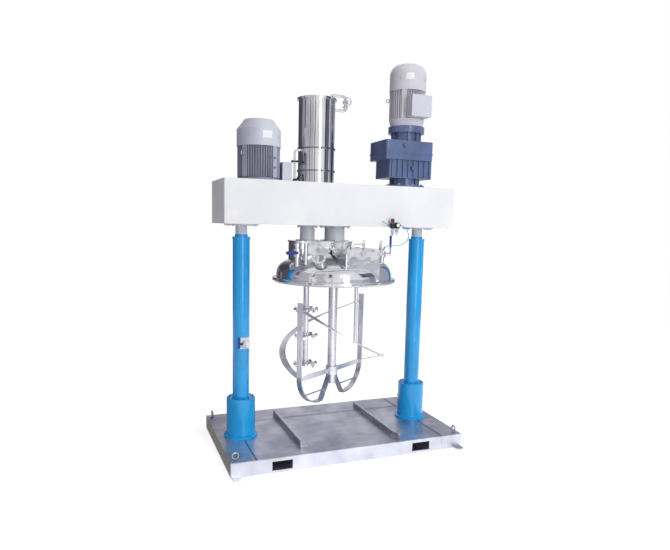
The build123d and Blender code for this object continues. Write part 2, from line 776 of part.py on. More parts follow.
can_dome_r = (CAN_R**2 + CAN_DOME_H**2) / (2 * CAN_DOME_H)
can_dome_z = CAN_TOP + CAN_RIM_T + CAN_DOME_H - can_dome_r
can_dome_turn = math.asin(CAN_R / can_dome_r)
with BuildPart() as canister_lid:
    with BuildSketch(Plane.XZ):
        with BuildLine():
            Polyline((0, CAN_TOP), (CAN_RIM_R, CAN_TOP), (CAN_RIM_R, CAN_TOP + CAN_RIM_T), (CAN_R, CAN_TOP + CAN_RIM_T))
            ThreePointArc(
                (CAN_R, CAN_TOP + CAN_RIM_T),
                (can_dome_r * math.sin(can_dome_turn / 2), can_dome_z + can_dome_r * math.cos(can_dome_turn / 2)),
                (0, CAN_TOP + CAN_RIM_T + CAN_DOME_H),
            )
            Line((0, CAN_TOP + CAN_RIM_T + CAN_DOME_H), (0, CAN_TOP))
        make_face()
    revolve(axis=Axis.Z)
canister_lid.part.locate(Location((CAN_X, 0, 0)))
finish(canister_lid, "canister_lid")

with BuildPart() as canister_bands:
    for z in BAND_ZS:
        with BuildSketch(Plane.XY.offset(z - BAND_H / 2)):
            with Locations((CAN_X, 0)):
                Circle(BAND_R)
                Circle(CAN_R + TUBE_FIT, mode=Mode.SUBTRACT)
            with Locations((CAN_X, -BAND_R - 8)):
                Rectangle(34, 20)
        extrude(amount=BAND_H)
finish(canister_bands, "canister_bands")

# Vent: a bent pipe from the lid, down through a hand valve and back into the canister's side
VENT_TOP = 3532
vent_bend = 28
can_side_x = CAN_X + CAN_R + SEAT
with BuildPart() as vent_pipe:
    with BuildLine() as vent_route:
        FilletPolyline(
            (-70, 0, CAN_TOP + CAN_RIM_T),
            (-70, 0, VENT_TOP),
            (VENT_X, 0, VENT_TOP),
            (VENT_X, 0, VENT_Z),
            (can_side_x, 0, VENT_Z),
            radius=vent_bend,
        )
    with BuildSketch(Plane(origin=(-70, 0, CAN_TOP + CAN_RIM_T), z_dir=(0, 0, 1))):
        Circle(VENT_PIPE_R)
    sweep()
    add(canister_lid.part, mode=Mode.SUBTRACT)
    with Locations((VENT_X, 0, VENT_WHEEL_Z)):
        Sphere(27)
    with Locations(Location((VENT_X, 0, VENT_WHEEL_Z), (90, 0, 0))):
        Cylinder(11, 44, align=(Align.CENTER, Align.CENTER, Align.MIN))
    with Locations((VENT_X, 0, VENT_WHEEL_Z - 48)):
        Cylinder(25, 12)
finish(vent_pipe, "vent_pipe")

wheel_y = -44 - SEAT - 6
with BuildPart() as vent_handwheel:
    with Locations(Location((VENT_X, wheel_y, VENT_WHEEL_Z), (90, 0, 0))):
        Torus(VENT_WHEEL_R, 5)
        Cylinder(12, 12)
    for turn in (90, 210, 330):
        with Locations(Location((VENT_X, wheel_y, VENT_WHEEL_Z), (0, turn, 0))):
            Cylinder(4, VENT_WHEEL_R, align=(Align.CENTER, Align.CENTER, Align.MIN))
finish(vent_handwheel, "vent_handwheel")

# Clear drain hose beside the canister, from the upper band level down to the beam
sight_wall_x = CAN_X - math.sqrt(CAN_R**2 - SIGHT_Y**2) - SEAT
sight_top = BAND_ZS[1] - 22
with BuildPart() as sight_hose:
    with BuildLine() as sight_route:
        FilletPolyline(
            (sight_wall_x - 12, SIGHT_Y, sight_top),
            (SIGHT_X, SIGHT_Y, sight_top),
            (SIGHT_X, SIGHT_Y, BEAM_Z1),
            radius=34,
        )
    with BuildSketch(Plane(origin=(sight_wall_x - 12, SIGHT_Y, sight_top), z_dir=(-1, 0, 0))):
        Circle(SIGHT_R)
    sweep()
    with Locations(Location((sight_wall_x + 20, SIGHT_Y, sight_top), (0, -90, 0))):
        Cylinder(SIGHT_R - 2, 34, align=(Align.CENTER, Align.CENTER, Align.MIN))
    with Locations((SIGHT_X, SIGHT_Y, SIGHT_CLAMP_Z)):
        Box(56, 30, 26)
    with Locations((CAN_X, 0, BEAM_Z1)):
        Cylinder(CAN_R + SEAT, CAN_TOP - BEAM_Z1, align=(Align.CENTER, Align.CENTER, Align.MIN), mode=Mode.SUBTRACT)
    with Locations((SIGHT_X, SIGHT_Y, BEAM_Z1)):
        Cylinder(19, 26, align=(Align.CENTER, Align.CENTER, Align.MIN))
finish(sight_hose, "sight_hose")

# Eye bolts of the motors, and the bolts under the beam and round the output flange
with BuildPart() as head_bolts:
    eye_places = [(MOTOR_X, MOTOR_FIN_R, MOTOR_EYE_AZ, MOTOR_EYE_Z)]
    eye_places += [(GEAR_X, GM_FIN_R, az, GM_EYE_Z) for az in GM_EYE_AZS]
    for motor_x, pad_r, az, z in eye_places:
        outwards = Vector(math.cos(math.radians(az)), math.sin(math.radians(az)), 0)
        pad = Vector(motor_x, 0, z) + outwards * (pad_r - PAD_SET_BACK)
        ring = pad + outwards * (EYE_BOLT_NECK + EYE_BOLT_R)
        sideways = Vector(-outwards.Y, outwards.X, 0)
        with Locations(Plane(origin=ring, x_dir=outwards, z_dir=sideways).location):
            Torus(EYE_BOLT_R, EYE_BOLT_WIRE_R)
        with BuildSketch(Plane(origin=pad, z_dir=outwards)):
            Circle(EYE_BOLT_R / 2)
        extrude(amount=EYE_BOLT_NECK)
    for column_x in (-COL_X, COL_X):
        with BuildSketch(Plane.XY.offset(BEAM_Z0 - COUPLING_T)):
            with Locations(*[(column_x + x, y) for x, y in bar_points(COUPLING_BOLT_PCR, COUPLING_BOLTS, 22.5)]):
                RegularPolygon(12, 6)
        extrude(amount=-10)
    with BuildSketch(Plane.XY.offset(BEAM_Z1 + OUT_FLANGE_T)):
        with Locations(*[(GEAR_X + x, y) for x, y in bar_points(OUT_FLANGE_R - 24, 8)]):
            RegularPolygon(13, 6)
    extrude(amount=12)
    for x in (BEAM_X0 + 126, BEAM_X1 - 255):
        with Locations((x, -BEAM_Y + 70, BEAM_Z1)):
            Cylinder(14, 6, align=(Align.CENTER, Align.CENTER, Align.MIN))
finish(head_bolts, "head_bolts")

# Bearing housings between the beam and the pedestal
for name, x, radius, flange_r, shaft_r in (
    ("disperser_bearing_housing", DISP_X, DISP_HOUSING_R, DISP_FLANGE_R, DISP_R),
    ("frame_bearing_housing", FRAME_X, FRAME_HOUSING_R, FRAME_FLANGE_R, FRAME_R),
):
    with BuildPart() as bearing_housing:
        with BuildSketch(Plane.XZ):
            with BuildLine():
                Polyline(
                    (shaft_r + RUN, PED_Z),
                    (radius + 14, PED_Z),
                    (radius + 14, PED_Z + HOUSING_FLANGE_H),
                    (radius, PED_Z + HOUSING_FLANGE_H),
                    (radius, BEAM_Z0 - HOUSING_FLANGE_H),
                    (flange_r, BEAM_Z0 - HOUSING_FLANGE_H),
                    (flange_r, BEAM_Z0),
                    (shaft_r + RUN, BEAM_Z0),
                    close=True,
                )
            make_face()
        revolve(axis=Axis.Z)
    bearing_housing.part.locate(Location((x, 0, 0)))
    finish(bearing_housing, name)

# Lid: dished head of constant wall with a flat rim
knuckle_x = LID_WALL_R - KNUCKLE_R
turn = math.radians(KNUCKLE_ANGLE)
crown_r = (knuckle_x + KNUCKLE_R * math.cos(turn)) / math.cos(turn)
crown_z = KNUCKLE_Z + KNUCKLE_R * math.sin(turn) - crown_r * math.sin(turn)
crown_top = crown_z + crown_r


def dome_point(offset_in, angle):
    """Point of the dished profile, offset_in below its outside, at an angle up from horizontal."""
    if angle <= KNUCKLE_ANGLE:
        reach = KNUCKLE_R - offset_in
        a = math.radians(angle)
        return (knuckle_x + reach * math.cos(a), KNUCKLE_Z + reach * math.sin(a))
    reach = crown_r - offset_in
    a = math.radians(angle)
    return (reach * math.cos(a), crown_z + reach * math.sin(a))


def dome_height(radius, offset_in=0.0):
    """Height of the dished surface at a distance from the axis."""
    split = dome_point(offset_in, KNUCKLE_ANGLE)[0]
    if radius < split:
        return crown_z + math.sqrt((crown_r - offset_in) ** 2 - radius**2)
    return KNUCKLE_Z + math.sqrt(max((KNUCKLE_R - offset_in) ** 2 - (radius - knuckle_x) ** 2, 0))


def dome_face(offset_in, bottom):
    """Closed half profile of everything under the dished surface, down to a level."""
    with BuildSketch(Plane.XZ) as half:
        with BuildLine():
            mid = (KNUCKLE_ANGLE + 90) / 2
            Polyline((0, bottom), (LID_WALL_R - offset_in, bottom), dome_point(offset_in, 0))
            ThreePointArc(
                dome_point(offset_in, 0),
                dome_point(offset_in, KNUCKLE_ANGLE / 2),
                dome_point(offset_in, KNUCKLE_ANGLE),
            )
            ThreePointArc(
                dome_point(offset_in, KNUCKLE_ANGLE),
                dome_point(offset_in, mid),
                (0, crown_z + crown_r - offset_in),
            )
            Line((0, crown_z + crown_r - offset_in), (0, bottom))
        make_face()
    return half.sketch


port_cx = (PORT_X0 + PORT_X1) / 2
port_cy = (PORT_Y0 + PORT_Y1) / 2
port_w = PORT_X1 - PORT_X0
port_d = PORT_Y1 - PORT_Y0
sight_az = math.radians(SIGHT_GLASS_AZ)
SIGHT_GLASS_DIST = 495
sight_base = Vector(
    SIGHT_GLASS_DIST * math.cos(sight_az),
    SIGHT_GLASS_DIST * math.sin(sight_az),
    dome_height(SIGHT_GLASS_DIST) - 8,
)
sight_tilt = math.radians(SIGHT_GLASS_TILT)
sight_dir = Vector(
    math.sin(sight_tilt) * math.cos(sight_az),
    math.sin(sight_tilt) * math.sin(sight_az),
    math.cos(sight_tilt),
)
sight_plane = Plane(origin=sight_base, z_dir=sight_dir)
with BuildPart() as lid_dome:
    with BuildSketch(Plane.XY.offset(LID_Z)):
        Circle(LID_R)
        Circle(LID_WALL_R - LID_T, mode=Mode.SUBTRACT)
    extrude(amount=LID_RIM_T)
    revolve(dome_face(0, LID_Z), axis=Axis.Z)
    fillet(lid_dome.edges().filter_by(GeomType.CIRCLE).filter_by(lambda e: abs(e.radius - LID_R) < 1), 8)
    revolve(dome_face(LID_T, LID_Z - 1), axis=Axis.Z, mode=Mode.SUBTRACT)
    with BuildSketch(Plane.XY.offset(LID_Z + LID_RIM_T)):
        with Locations((port_cx, port_cy)):
            Rectangle(port_w - 2 * PORT_WALL, port_d - 2 * PORT_WALL)
        with Locations((DISP_X - FRAME_X, 0)):
            Circle(DISP_R + SHAFT_HOLE_CLEAR)
        Circle(FRAME_R + SHAFT_HOLE_CLEAR)
        with Locations((PROBE_X, 0)):
            Circle(PROBE_R + TUBE_FIT)
    extrude(amount=crown_top - LID_Z, mode=Mode.SUBTRACT)
    with BuildSketch(sight_plane.offset(-60)):
        Circle(SIGHT_NECK_R - 6)
    extrude(amount=110, mode=Mode.SUBTRACT)
lid_dome.part.locate(Location((FRAME_X, 0, 0)))
finish(lid_dome, "lid_dome")

with BuildPart() as lid_gasket:
    with BuildSketch(Plane.XY.offset(LID_Z - GASKET_T)):
        with Locations((FRAME_X, 0)):
            Circle(GASKET_R1)
            Circle(GASKET_R0, mode=Mode.SUBTRACT)
    extrude(amount=GASKET_T)
finish(lid_gasket, "lid_gasket")

# Pieces that stand on the dome are cut to its surface, so they meet it all round
dome_core = revolve(dome_face(0, LID_Z - 200), axis=Axis.Z, mode=Mode.PRIVATE)
dome_core = dome_core.locate(Location((FRAME_X, 0, 0)))

ped_cx = (PED_X0 + PED_X1) / 2
ped_l = PED_X1 - PED_X0
with BuildPart() as lid_pedestal:
    with BuildSketch(Plane.XY.offset(LID_Z + 120)):
        with Locations((ped_cx, 0)):
            RectangleRounded(ped_l, 2 * PED_Y, PED_CORNER)
            RectangleRounded(
                ped_l - 2 * PED_WALL, 2 * (PED_Y - PED_WALL), PED_CORNER - PED_WALL, mode=Mode.SUBTRACT
            )
    extrude(amount=PED_Z - PED_TOP_T - LID_Z - 120)
    with BuildSketch(Plane.XY.offset(PED_Z - PED_TOP_T)):
        with Locations((ped_cx, 0)):
            RectangleRounded(ped_l + 16, 2 * PED_Y + 16, PED_CORNER + 8)
        with Locations((DISP_X, 0)):
            Circle(DISP_R + SHAFT_HOLE_CLEAR, mode=Mode.SUBTRACT)
        with Locations((FRAME_X, 0)):
            Circle(FRAME_R + SHAFT_HOLE_CLEAR, mode=Mode.SUBTRACT)
    extrude(amount=PED_TOP_T)
    add(dome_core, mode=Mode.SUBTRACT)
finish(lid_pedestal, "lid_pedestal")

clamp_xs = (PORT_X0 + 10, port_cx, PORT_X1 - 4)
jaw_y = PORT_Y0 - PORT_LIP - SEAT
pivot_y = jaw_y - CLAMP_T / 2
pivot_z = PORT_Z - CLAMP_DROP
ear_x = CLAMP_W / 2 + SEAT + EAR_T / 2
ear_d = PORT_Y0 - pivot_y + 2 * PIN_R
ear_h = PORT_Z - PORT_LIP_T - pivot_z + 2 * PIN_R
with BuildPart() as port_neck:
    with BuildSketch(Plane.XY.offset(LID_Z + LID_RIM_T + 20)):
        with Locations((port_cx + FRAME_X, port_cy)):
            RectangleRounded(port_w, port_d, 12)
            Rectangle(port_w - 2 * PORT_WALL, port_d - 2 * PORT_WALL, mode=Mode.SUBTRACT)
    extrude(amount=PORT_Z - LID_Z - LID_RIM_T - 20)
    with BuildSketch(Plane.XY.offset(PORT_Z - PORT_LIP_T)):
        with Locations((port_cx + FRAME_X, port_cy)):
            RectangleRounded(port_w + 2 * PORT_LIP, port_d + 2 * PORT_LIP, 16)
            Rectangle(port_w - 2 * PORT_WALL, port_d - 2 * PORT_WALL, mode=Mode.SUBTRACT)
    extrude(amount=PORT_LIP_T)
    for x in clamp_xs:
        with Locations((x - ear_x, PORT_Y0, pivot_z - 2 * PIN_R), (x + ear_x, PORT_Y0, pivot_z - 2 * PIN_R)):
            Box(EAR_T, ear_d, ear_h, align=(Align.CENTER, Align.MAX, Align.MIN))
        with Locations(Location((x, pivot_y, pivot_z), (0, 90, 0))):
            Cylinder(PIN_R + RUN, 2 * (ear_x + EAR_T), mode=Mode.SUBTRACT)
    add(dome_core, mode=Mode.SUBTRACT)
finish(port_neck, "port_neck")

with BuildPart() as port_cover:
    with BuildSketch(Plane.XY.offset(PORT_Z)):
        with Locations((port_cx + FRAME_X, port_cy)):
            RectangleRounded(port_w + 2 * PORT_LIP, port_d + 2 * PORT_LIP, 16)
    extrude(amount=COVER_T)
    chamfer(port_cover.faces().sort_by(Axis.Z)[-1].edges(), 2)
    handle_y = port_cy - 60
    with BuildLine():
        FilletPolyline(
            (port_cx - HANDLE_W / 2, handle_y, PORT_Z + COVER_T - 1),
            (port_cx - HANDLE_W / 2, handle_y, PORT_Z + COVER_T + HANDLE_H),
            (port_cx + HANDLE_W / 2, handle_y, PORT_Z + COVER_T + HANDLE_H),
            (port_cx + HANDLE_W / 2, handle_y, PORT_Z + COVER_T - 1),
            radius=14,
        )
    with BuildSketch(Plane(origin=(port_cx - HANDLE_W / 2, handle_y, PORT_Z + COVER_T - 1), z_dir=(0, 0, 1))):
        Circle(HANDLE_R)
    sweep()
finish(port_cover, "port_cover")

# Swing clamps along the cover's front edge: a jaw that turns in the neck's ears, and its knob
for name, x in zip(("clamp_left", "clamp_middle", "clamp_right"), clamp_xs):
    with BuildPart() as clamp:
        with BuildSketch(Plane.YZ.offset(x - CLAMP_W / 2)):
            with BuildLine():
                Polyline(
                    (jaw_y, pivot_z - 2 * PIN_R),
                    (jaw_y - CLAMP_T, pivot_z - 2 * PIN_R),
                    (jaw_y - CLAMP_T, PORT_Z + COVER_T + CLAMP_T),
                    (jaw_y + CLAMP_REACH, PORT_Z + COVER_T + CLAMP_T),
                    (jaw_y + CLAMP_REACH, PORT_Z + COVER_T + SEAT),
                    (jaw_y, PORT_Z + COVER_T + SEAT),
                    close=True,
                )
            make_face()
        extrude(amount=CLAMP_W)
        with Locations((x, jaw_y + 20, PORT_Z + COVER_T + CLAMP_T)):
            Cylinder(PIN_R, 26, align=(Align.CENTER, Align.CENTER, Align.MIN))
        with Locations((x, jaw_y + 20, PORT_Z + COVER_T + CLAMP_T + 30)):
            Sphere(CLAMP_KNOB_R)
        with Locations(Location((x, pivot_y, pivot_z), (0, 90, 0))):
            Cylinder(PIN_R, 2 * (ear_x + EAR_T / 2))
    finish(clamp, name)

# Sight glass: slanted neck and flange ring on the dome, with the disc held in it
with BuildPart() as sight_flange:
    with BuildSketch(sight_plane.offset(-20)):
        Circle(SIGHT_NECK_R)
        Circle(SIGHT_NECK_R - 6, mode=Mode.SUBTRACT)
    extrude(amount=SIGHT_NECK_H)
    with BuildSketch(sight_plane.offset(SIGHT_NECK_H - 20)):
        Circle(SIGHT_GLASS_R)
        Circle(SIGHT_NECK_R - 6, mode=Mode.SUBTRACT)
    extrude(amount=24)
    with BuildSketch(sight_plane.offset(SIGHT_NECK_H + 4)):
        with PolarLocations(SIGHT_GLASS_R - 10, 6):
            RegularPolygon(6, 6)
    extrude(amount=7)
    with BuildSketch(sight_plane.offset(SIGHT_NECK_H - 6)):
        Circle(SIGHT_NECK_R - 2)
    extrude(amount=10, mode=Mode.SUBTRACT)
sight_flange.part.locate(Location((FRAME_X, 0, 0)))
with BuildPart() as sight_ring:
    add(sight_flange.part)
    add(dome_core, mode=Mode.SUBTRACT)
finish(sight_ring, "sight_ring")

with BuildPart() as sight_disc:
    with BuildSketch(sight_plane.offset(SIGHT_NECK_H - 6)):
        Circle(SIGHT_NECK_R - 2 - SEAT)
    extrude(amount=8)
sight_disc.part.locate(Location((FRAME_X, 0, 0)))
finish(sight_disc, "sight_glass")

# Nozzles on the lid: breather pipe, the left ball valve and the right valve group
BREATHER_CAP_R = 26
VALVE_BODY_R = 44
RIGHT_BODY_R = 37
barb_dir = (Vector(*HOSE_LAST) - Vector(*HOSE_TAIL)).normalized()
barb_plane = Plane(origin=HOSE_LAST, z_dir=barb_dir)
barb_foot = Vector(*HOSE_LAST) + barb_dir * (BARB_L - 2 * HOSE_R)
barb_reach = Vector(RIGHT_X, RIGHT_Y, barb_foot.Z) - barb_foot
with BuildPart() as lid_nozzles:
    with Locations((PIPE_X, PIPE_Y, LID_Z + 100)):
        Cylinder(PIPE_R, PIPE_TOP - LID_Z - 100, align=(Align.CENTER, Align.CENTER, Align.MIN))
    with Locations((PIPE_X, PIPE_Y, PIPE_TOP - 22)):
        Cylinder(BREATHER_CAP_R, 22, align=(Align.CENTER, Align.CENTER, Align.MIN))
    with Locations((VALVE_X, VALVE_Y, LID_Z + 80)):
        Cylinder(VALVE_R - 8, PED_Z - 20 - LID_Z - 80, align=(Align.CENTER, Align.CENTER, Align.MIN))
    with Locations((VALVE_X, VALVE_Y, VALVE_Z)):
        Cylinder(VALVE_BODY_R, 76)
    with Locations((VALVE_X, VALVE_Y, PED_Z - 40)):
        Cylinder(VALVE_R, 20, align=(Align.CENTER, Align.CENTER, Align.MIN))
    with Locations((RIGHT_X, RIGHT_Y, LID_Z + 80)):
        Cylinder(RIGHT_R - 8, 2054 - LID_Z - 80, align=(Align.CENTER, Align.CENTER, Align.MIN))
    with Locations((RIGHT_X, RIGHT_Y, RIGHT_Z)):
        Cylinder(RIGHT_BODY_R, 60)
    with Locations((RIGHT_X, RIGHT_Y, 2032)):
        Cylinder(RIGHT_R, 22, align=(Align.CENTER, Align.CENTER, Align.MIN))
    with Locations(Location((RIGHT_X, RIGHT_Y, RIGHT_Z), (0, 90, 0))):
        Cylinder(16, 84, align=(Align.CENTER, Align.CENTER, Align.MIN))
    with BuildSketch(barb_plane):
        Circle(2 * HOSE_R)
    extrude(amount=BARB_L)
    with BuildSketch(Plane(origin=barb_foot, z_dir=barb_reach)):
        Circle(2 * HOSE_R)
    extrude(amount=barb_reach.length)
    with Locations((PROBE_X + FRAME_X, 0, dome_height(PROBE_X) - PROBE_COLLAR_H)):
        Cylinder(PROBE_R + 16, 2 * PROBE_COLLAR_H, align=(Align.CENTER, Align.CENTER, Align.MIN))
        Cylinder(
            PROBE_R + TUBE_FIT, 2 * PROBE_COLLAR_H, align=(Align.CENTER, Align.CENTER, Align.MIN), mode=Mode.SUBTRACT
        )
    add(dome_core, mode=Mode.SUBTRACT)
finish(lid_nozzles, "lid_nozzles")

# Quarter-turn levers: each turns on the valve's stem, which points to the front or to the side
with BuildPart() as left_lever:
    stem_y = VALVE_Y - VALVE_BODY_R - SEAT
    with Locations(Location((VALVE_X, stem_y, VALVE_Z), (90, 0, 0))):
        Cylinder(9, 16, align=(Align.CENTER, Align.CENTER, Align.MIN))
    with Locations((VALVE_X - 48, stem_y - 12, VALVE_Z)):
        Box(116, 6, 18)
finish(left_lever, "valve_lever_left")

LEVER_X = RIGHT_X + 84 + SEAT
with BuildPart() as right_lever:
    with Locations(Location((LEVER_X, RIGHT_Y, RIGHT_Z), (0, 90, 0))):
        Cylinder(9, 14, align=(Align.CENTER, Align.CENTER, Align.MIN))
    with BuildSketch(Plane.YZ.offset(LEVER_X + 6)):
        with Locations((RIGHT_Y, RIGHT_Z - 12)):
            Rectangle(18, RIGHT_LEVER_L, align=(Align.CENTER, Align.MIN))
    extrude(amount=6)
finish(right_lever, "valve_lever_right")

# Probe tube that hangs from the lid beside the frame shaft
with BuildPart() as probe_tube:
    with Locations((PROBE_X + FRAME_X, 0, PROBE_END_Z)):
        Cylinder(PROBE_R, dome_height(PROBE_X) + 60 - PROBE_END_Z, align=(Align.CENTER, Align.CENTER, Align.MIN))
    with Locations((PROBE_X + FRAME_X, 0, dome_height(PROBE_X) + PROBE_COLLAR_H + SEAT)):
        Cylinder(PROBE_R + 8, 20, align=(Align.CENTER, Align.CENTER, Align.MIN))
finish(probe_tube, "probe_tube")

# Air unit: filter and oiler heads side by side on a bracket, with bowls below and a gauge in front
bracket_y = -BEAM_Y
with BuildPart() as air_unit:
    with Locations((AIR_X, bracket_y, AIR_Z + 20)):
        Box(70, bracket_y - AIR_Y, 30, align=(Align.CENTER, Align.MAX, Align.CENTER))
    for step in (-1, 1):
        with Locations((AIR_X + step * (AIR_W / 2 + 1), AIR_Y, AIR_Z)):
            Box(AIR_W, AIR_W, 46)
        with Locations((AIR_X + step * (AIR_W / 2 + 1), AIR_Y, AIR_Z - 23)):
            Cylinder(BOWL_R, BOWL_H, align=(Align.CENTER, Align.CENTER, Align.MAX))
    with Locations((AIR_X, AIR_Y, AIR_Z)):
        Box(2 * AIR_W, AIR_W - 12, 30)
    with Locations((AIR_X - AIR_W / 2 - 1, AIR_Y, AIR_Z + 23)):
        Cylinder(18, 12, align=(Align.CENTER, Align.CENTER, Align.MIN))
    with Locations(Location((AIR_X + AIR_W / 2, AIR_Y - AIR_W / 2, AIR_Z + 4), (90, 0, 0))):
        Cylinder(20, 14, align=(Align.CENTER, Align.CENTER, Align.MIN))
    with Locations(Location((AIR_X + AIR_W + 1, AIR_Y, AIR_Z + 10), (0, 90, 0))):
        Cylinder(8, 16, align=(Align.CENTER, Align.CENTER, Align.MIN))
finish(air_unit, "air_unit")

with BuildPart() as air_knob:
    with Locations((AIR_X - AIR_W / 2 - 1, AIR_Y, AIR_Z + 35 + SEAT)):
        Cylinder(17, 38, align=(Align.CENTER, Align.CENTER, Align.MIN))
    chamfer(air_knob.faces().sort_by(Axis.Z)[-1].edges(), 3)
finish(air_knob, "air_knob")

# Air hose: straight runs joined by tangent arcs, from the air unit to the right valve
hose_points = [
    (AIR_X + AIR_W + 17, AIR_Y, AIR_Z + 10),
    (AIR_X + AIR_W + 42, AIR_Y, AIR_Z + 10),
    (628, -382, 2232),
    (650, -386, 2190),
    (654, -382, 2144),
    (632, -374, 2100),
    (586, -366, 2076),
    (530, -358, 2066),
    (478, -352, 2066),
    (440, -347, 2062),
    HOSE_TAIL,
    HOSE_LAST,
]
hose_vectors = [Vector(*p) for p in hose_points]
hose_radii = []
for before, here, after in zip(hose_vectors, hose_vectors[1:], hose_vectors[2:]):
    bend = math.radians((here - before).get_angle(after - here))
    run = min((here - before).length, (after - here).length)
    hose_radii.append(0.45 * run / math.tan(bend / 2))
print("hose radii", [round(r) for r in hose_radii])
with BuildPart() as air_hose:
    with BuildLine():
        hose_line = FilletPolyline(*hose_points, radius=hose_radii)
    with BuildSketch(Plane(origin=hose_points[0], z_dir=hose_vectors[1] - hose_vectors[0])):
        Circle(HOSE_R)
    sweep()
print("hose length", hose_line.length, "volume share", air_hose.part.volume / (math.pi * HOSE_R**2 * hose_line.length))
finish(air_hose, "air_hose")

# Disperser: long shaft, its pulley, and three discs with teeth bent up and down in turn
with BuildPart() as disperser_shaft:
    with Locations((DISP_X, 0, DISP_END_Z)):
        Cylinder(DISP_R, DISP_BELT_Z - DISP_BELT_H / 2 - DISP_END_Z, align=(Align.CENTER, Align.CENTER, Align.MIN))
    chamfer(disperser_shaft.faces().sort_by(Axis.Z)[0].edges(), 4)
finish(disperser_shaft, "disperser_shaft")

with BuildPart() as disperser_pulley:
    with Locations((DISP_X, 0, DISP_BELT_Z)):
        Cylinder(DISP_PULLEY_R, DISP_BELT_H)
finish(disperser_pulley, "disperser_pulley")

with BuildPart() as toothed_discs:
    for disc_z in DISC_ZS:
        with BuildSketch(Plane.XY.offset(disc_z - DISC_T / 2)):
            with Locations((DISP_X, 0)):
                Circle(DISC_R)
        extrude(amount=DISC_T)
        with BuildSketch(Plane.XY.offset(disc_z - HUB_H / 2)):
            with Locations((DISP_X, 0)):
                Circle(HUB_R)
        extrude(amount=HUB_H)
        for first, rise in ((0, 1), (360 / TEETH, -1)):
            level = disc_z - DISC_T / 2 if rise > 0 else disc_z + DISC_T / 2
            with BuildSketch(Plane.XY.offset(level)):
                with Locations((DISP_X, 0)):
                    with PolarLocations(DISC_R, TEETH // 2, start_angle=first):
                        Rectangle(TOOTH_T + 6, 34, rotation=18)
            extrude(amount=rise * (TOOTH_H + DISC_T))
    with BuildSketch(Plane.XY.offset(DISP_END_Z)):
        with Locations((DISP_X, 0)):
            Circle(DISP_R)
    extrude(amount=LID_Z - DISP_END_Z, mode=Mode.SUBTRACT)
finish(toothed_discs, "toothed_discs")

# Frame agitator: shaft, pulley, cross arms on a hub, bent side bars and two half-turn ribbons
with BuildPart() as frame_shaft:
    with Locations((FRAME_X, 0, FRAME_END_Z)):
        Cylinder(FRAME_R, FRAME_BELT_Z - FRAME_BELT_H / 2 - FRAME_END_Z, align=(Align.CENTER, Align.CENTER, Align.MIN))
finish(frame_shaft, "frame_shaft")

with BuildPart() as frame_pulley:
    with Locations((FRAME_X, 0, FRAME_BELT_Z)):
        Cylinder(FRAME_PULLEY_R, FRAME_BELT_H)
finish(frame_pulley, "frame_pulley")

# The bars lie in one upright plane through the shaft: its x runs outwards, its y is up
bar_plane = Plane(
    origin=(FRAME_X, 0, 0),
    x_dir=(math.cos(math.radians(BAR_AZ)), math.sin(math.radians(BAR_AZ)), 0),
    z_dir=(math.sin(math.radians(BAR_AZ)), -math.cos(math.radians(BAR_AZ)), 0),
)
outer = BAR_R + BAR_T / 2
inner = BAR_R - BAR_T / 2
bend_z = BAR_BOTTOM + BAR_BEND_R
bend_x = BAR_R - BAR_BEND_R
half = math.sqrt(0.5)
with BuildPart() as side_bars:
    with BuildSketch(bar_plane.offset(-BAR_W / 2)):
        for side in (-1, 1):
            r_out = BAR_BEND_R + BAR_T / 2
            r_in = BAR_BEND_R - BAR_T / 2
            with BuildLine():
                Polyline((side * inner, bend_z), (side * inner, BAR_TOP), (side * outer, BAR_TOP), (side * outer, bend_z))
                ThreePointArc(
                    (side * outer, bend_z),
                    (side * (bend_x + r_out * half), bend_z - r_out * half),
                    (side * bend_x, bend_z - r_out),
                )
                Polyline(
                    (side * bend_x, bend_z - r_out),
                    (side * BAR_INNER, bend_z - r_out),
                    (side * BAR_INNER, bend_z - r_in),
                    (side * bend_x, bend_z - r_in),
                )
                ThreePointArc(
                    (side * bend_x, bend_z - r_in),
                    (side * (bend_x + r_in * half), bend_z - r_in * half),
                    (side * inner, bend_z),
                )
            make_face()
    extrude(amount=BAR_W)
finish(side_bars, "side_bars")

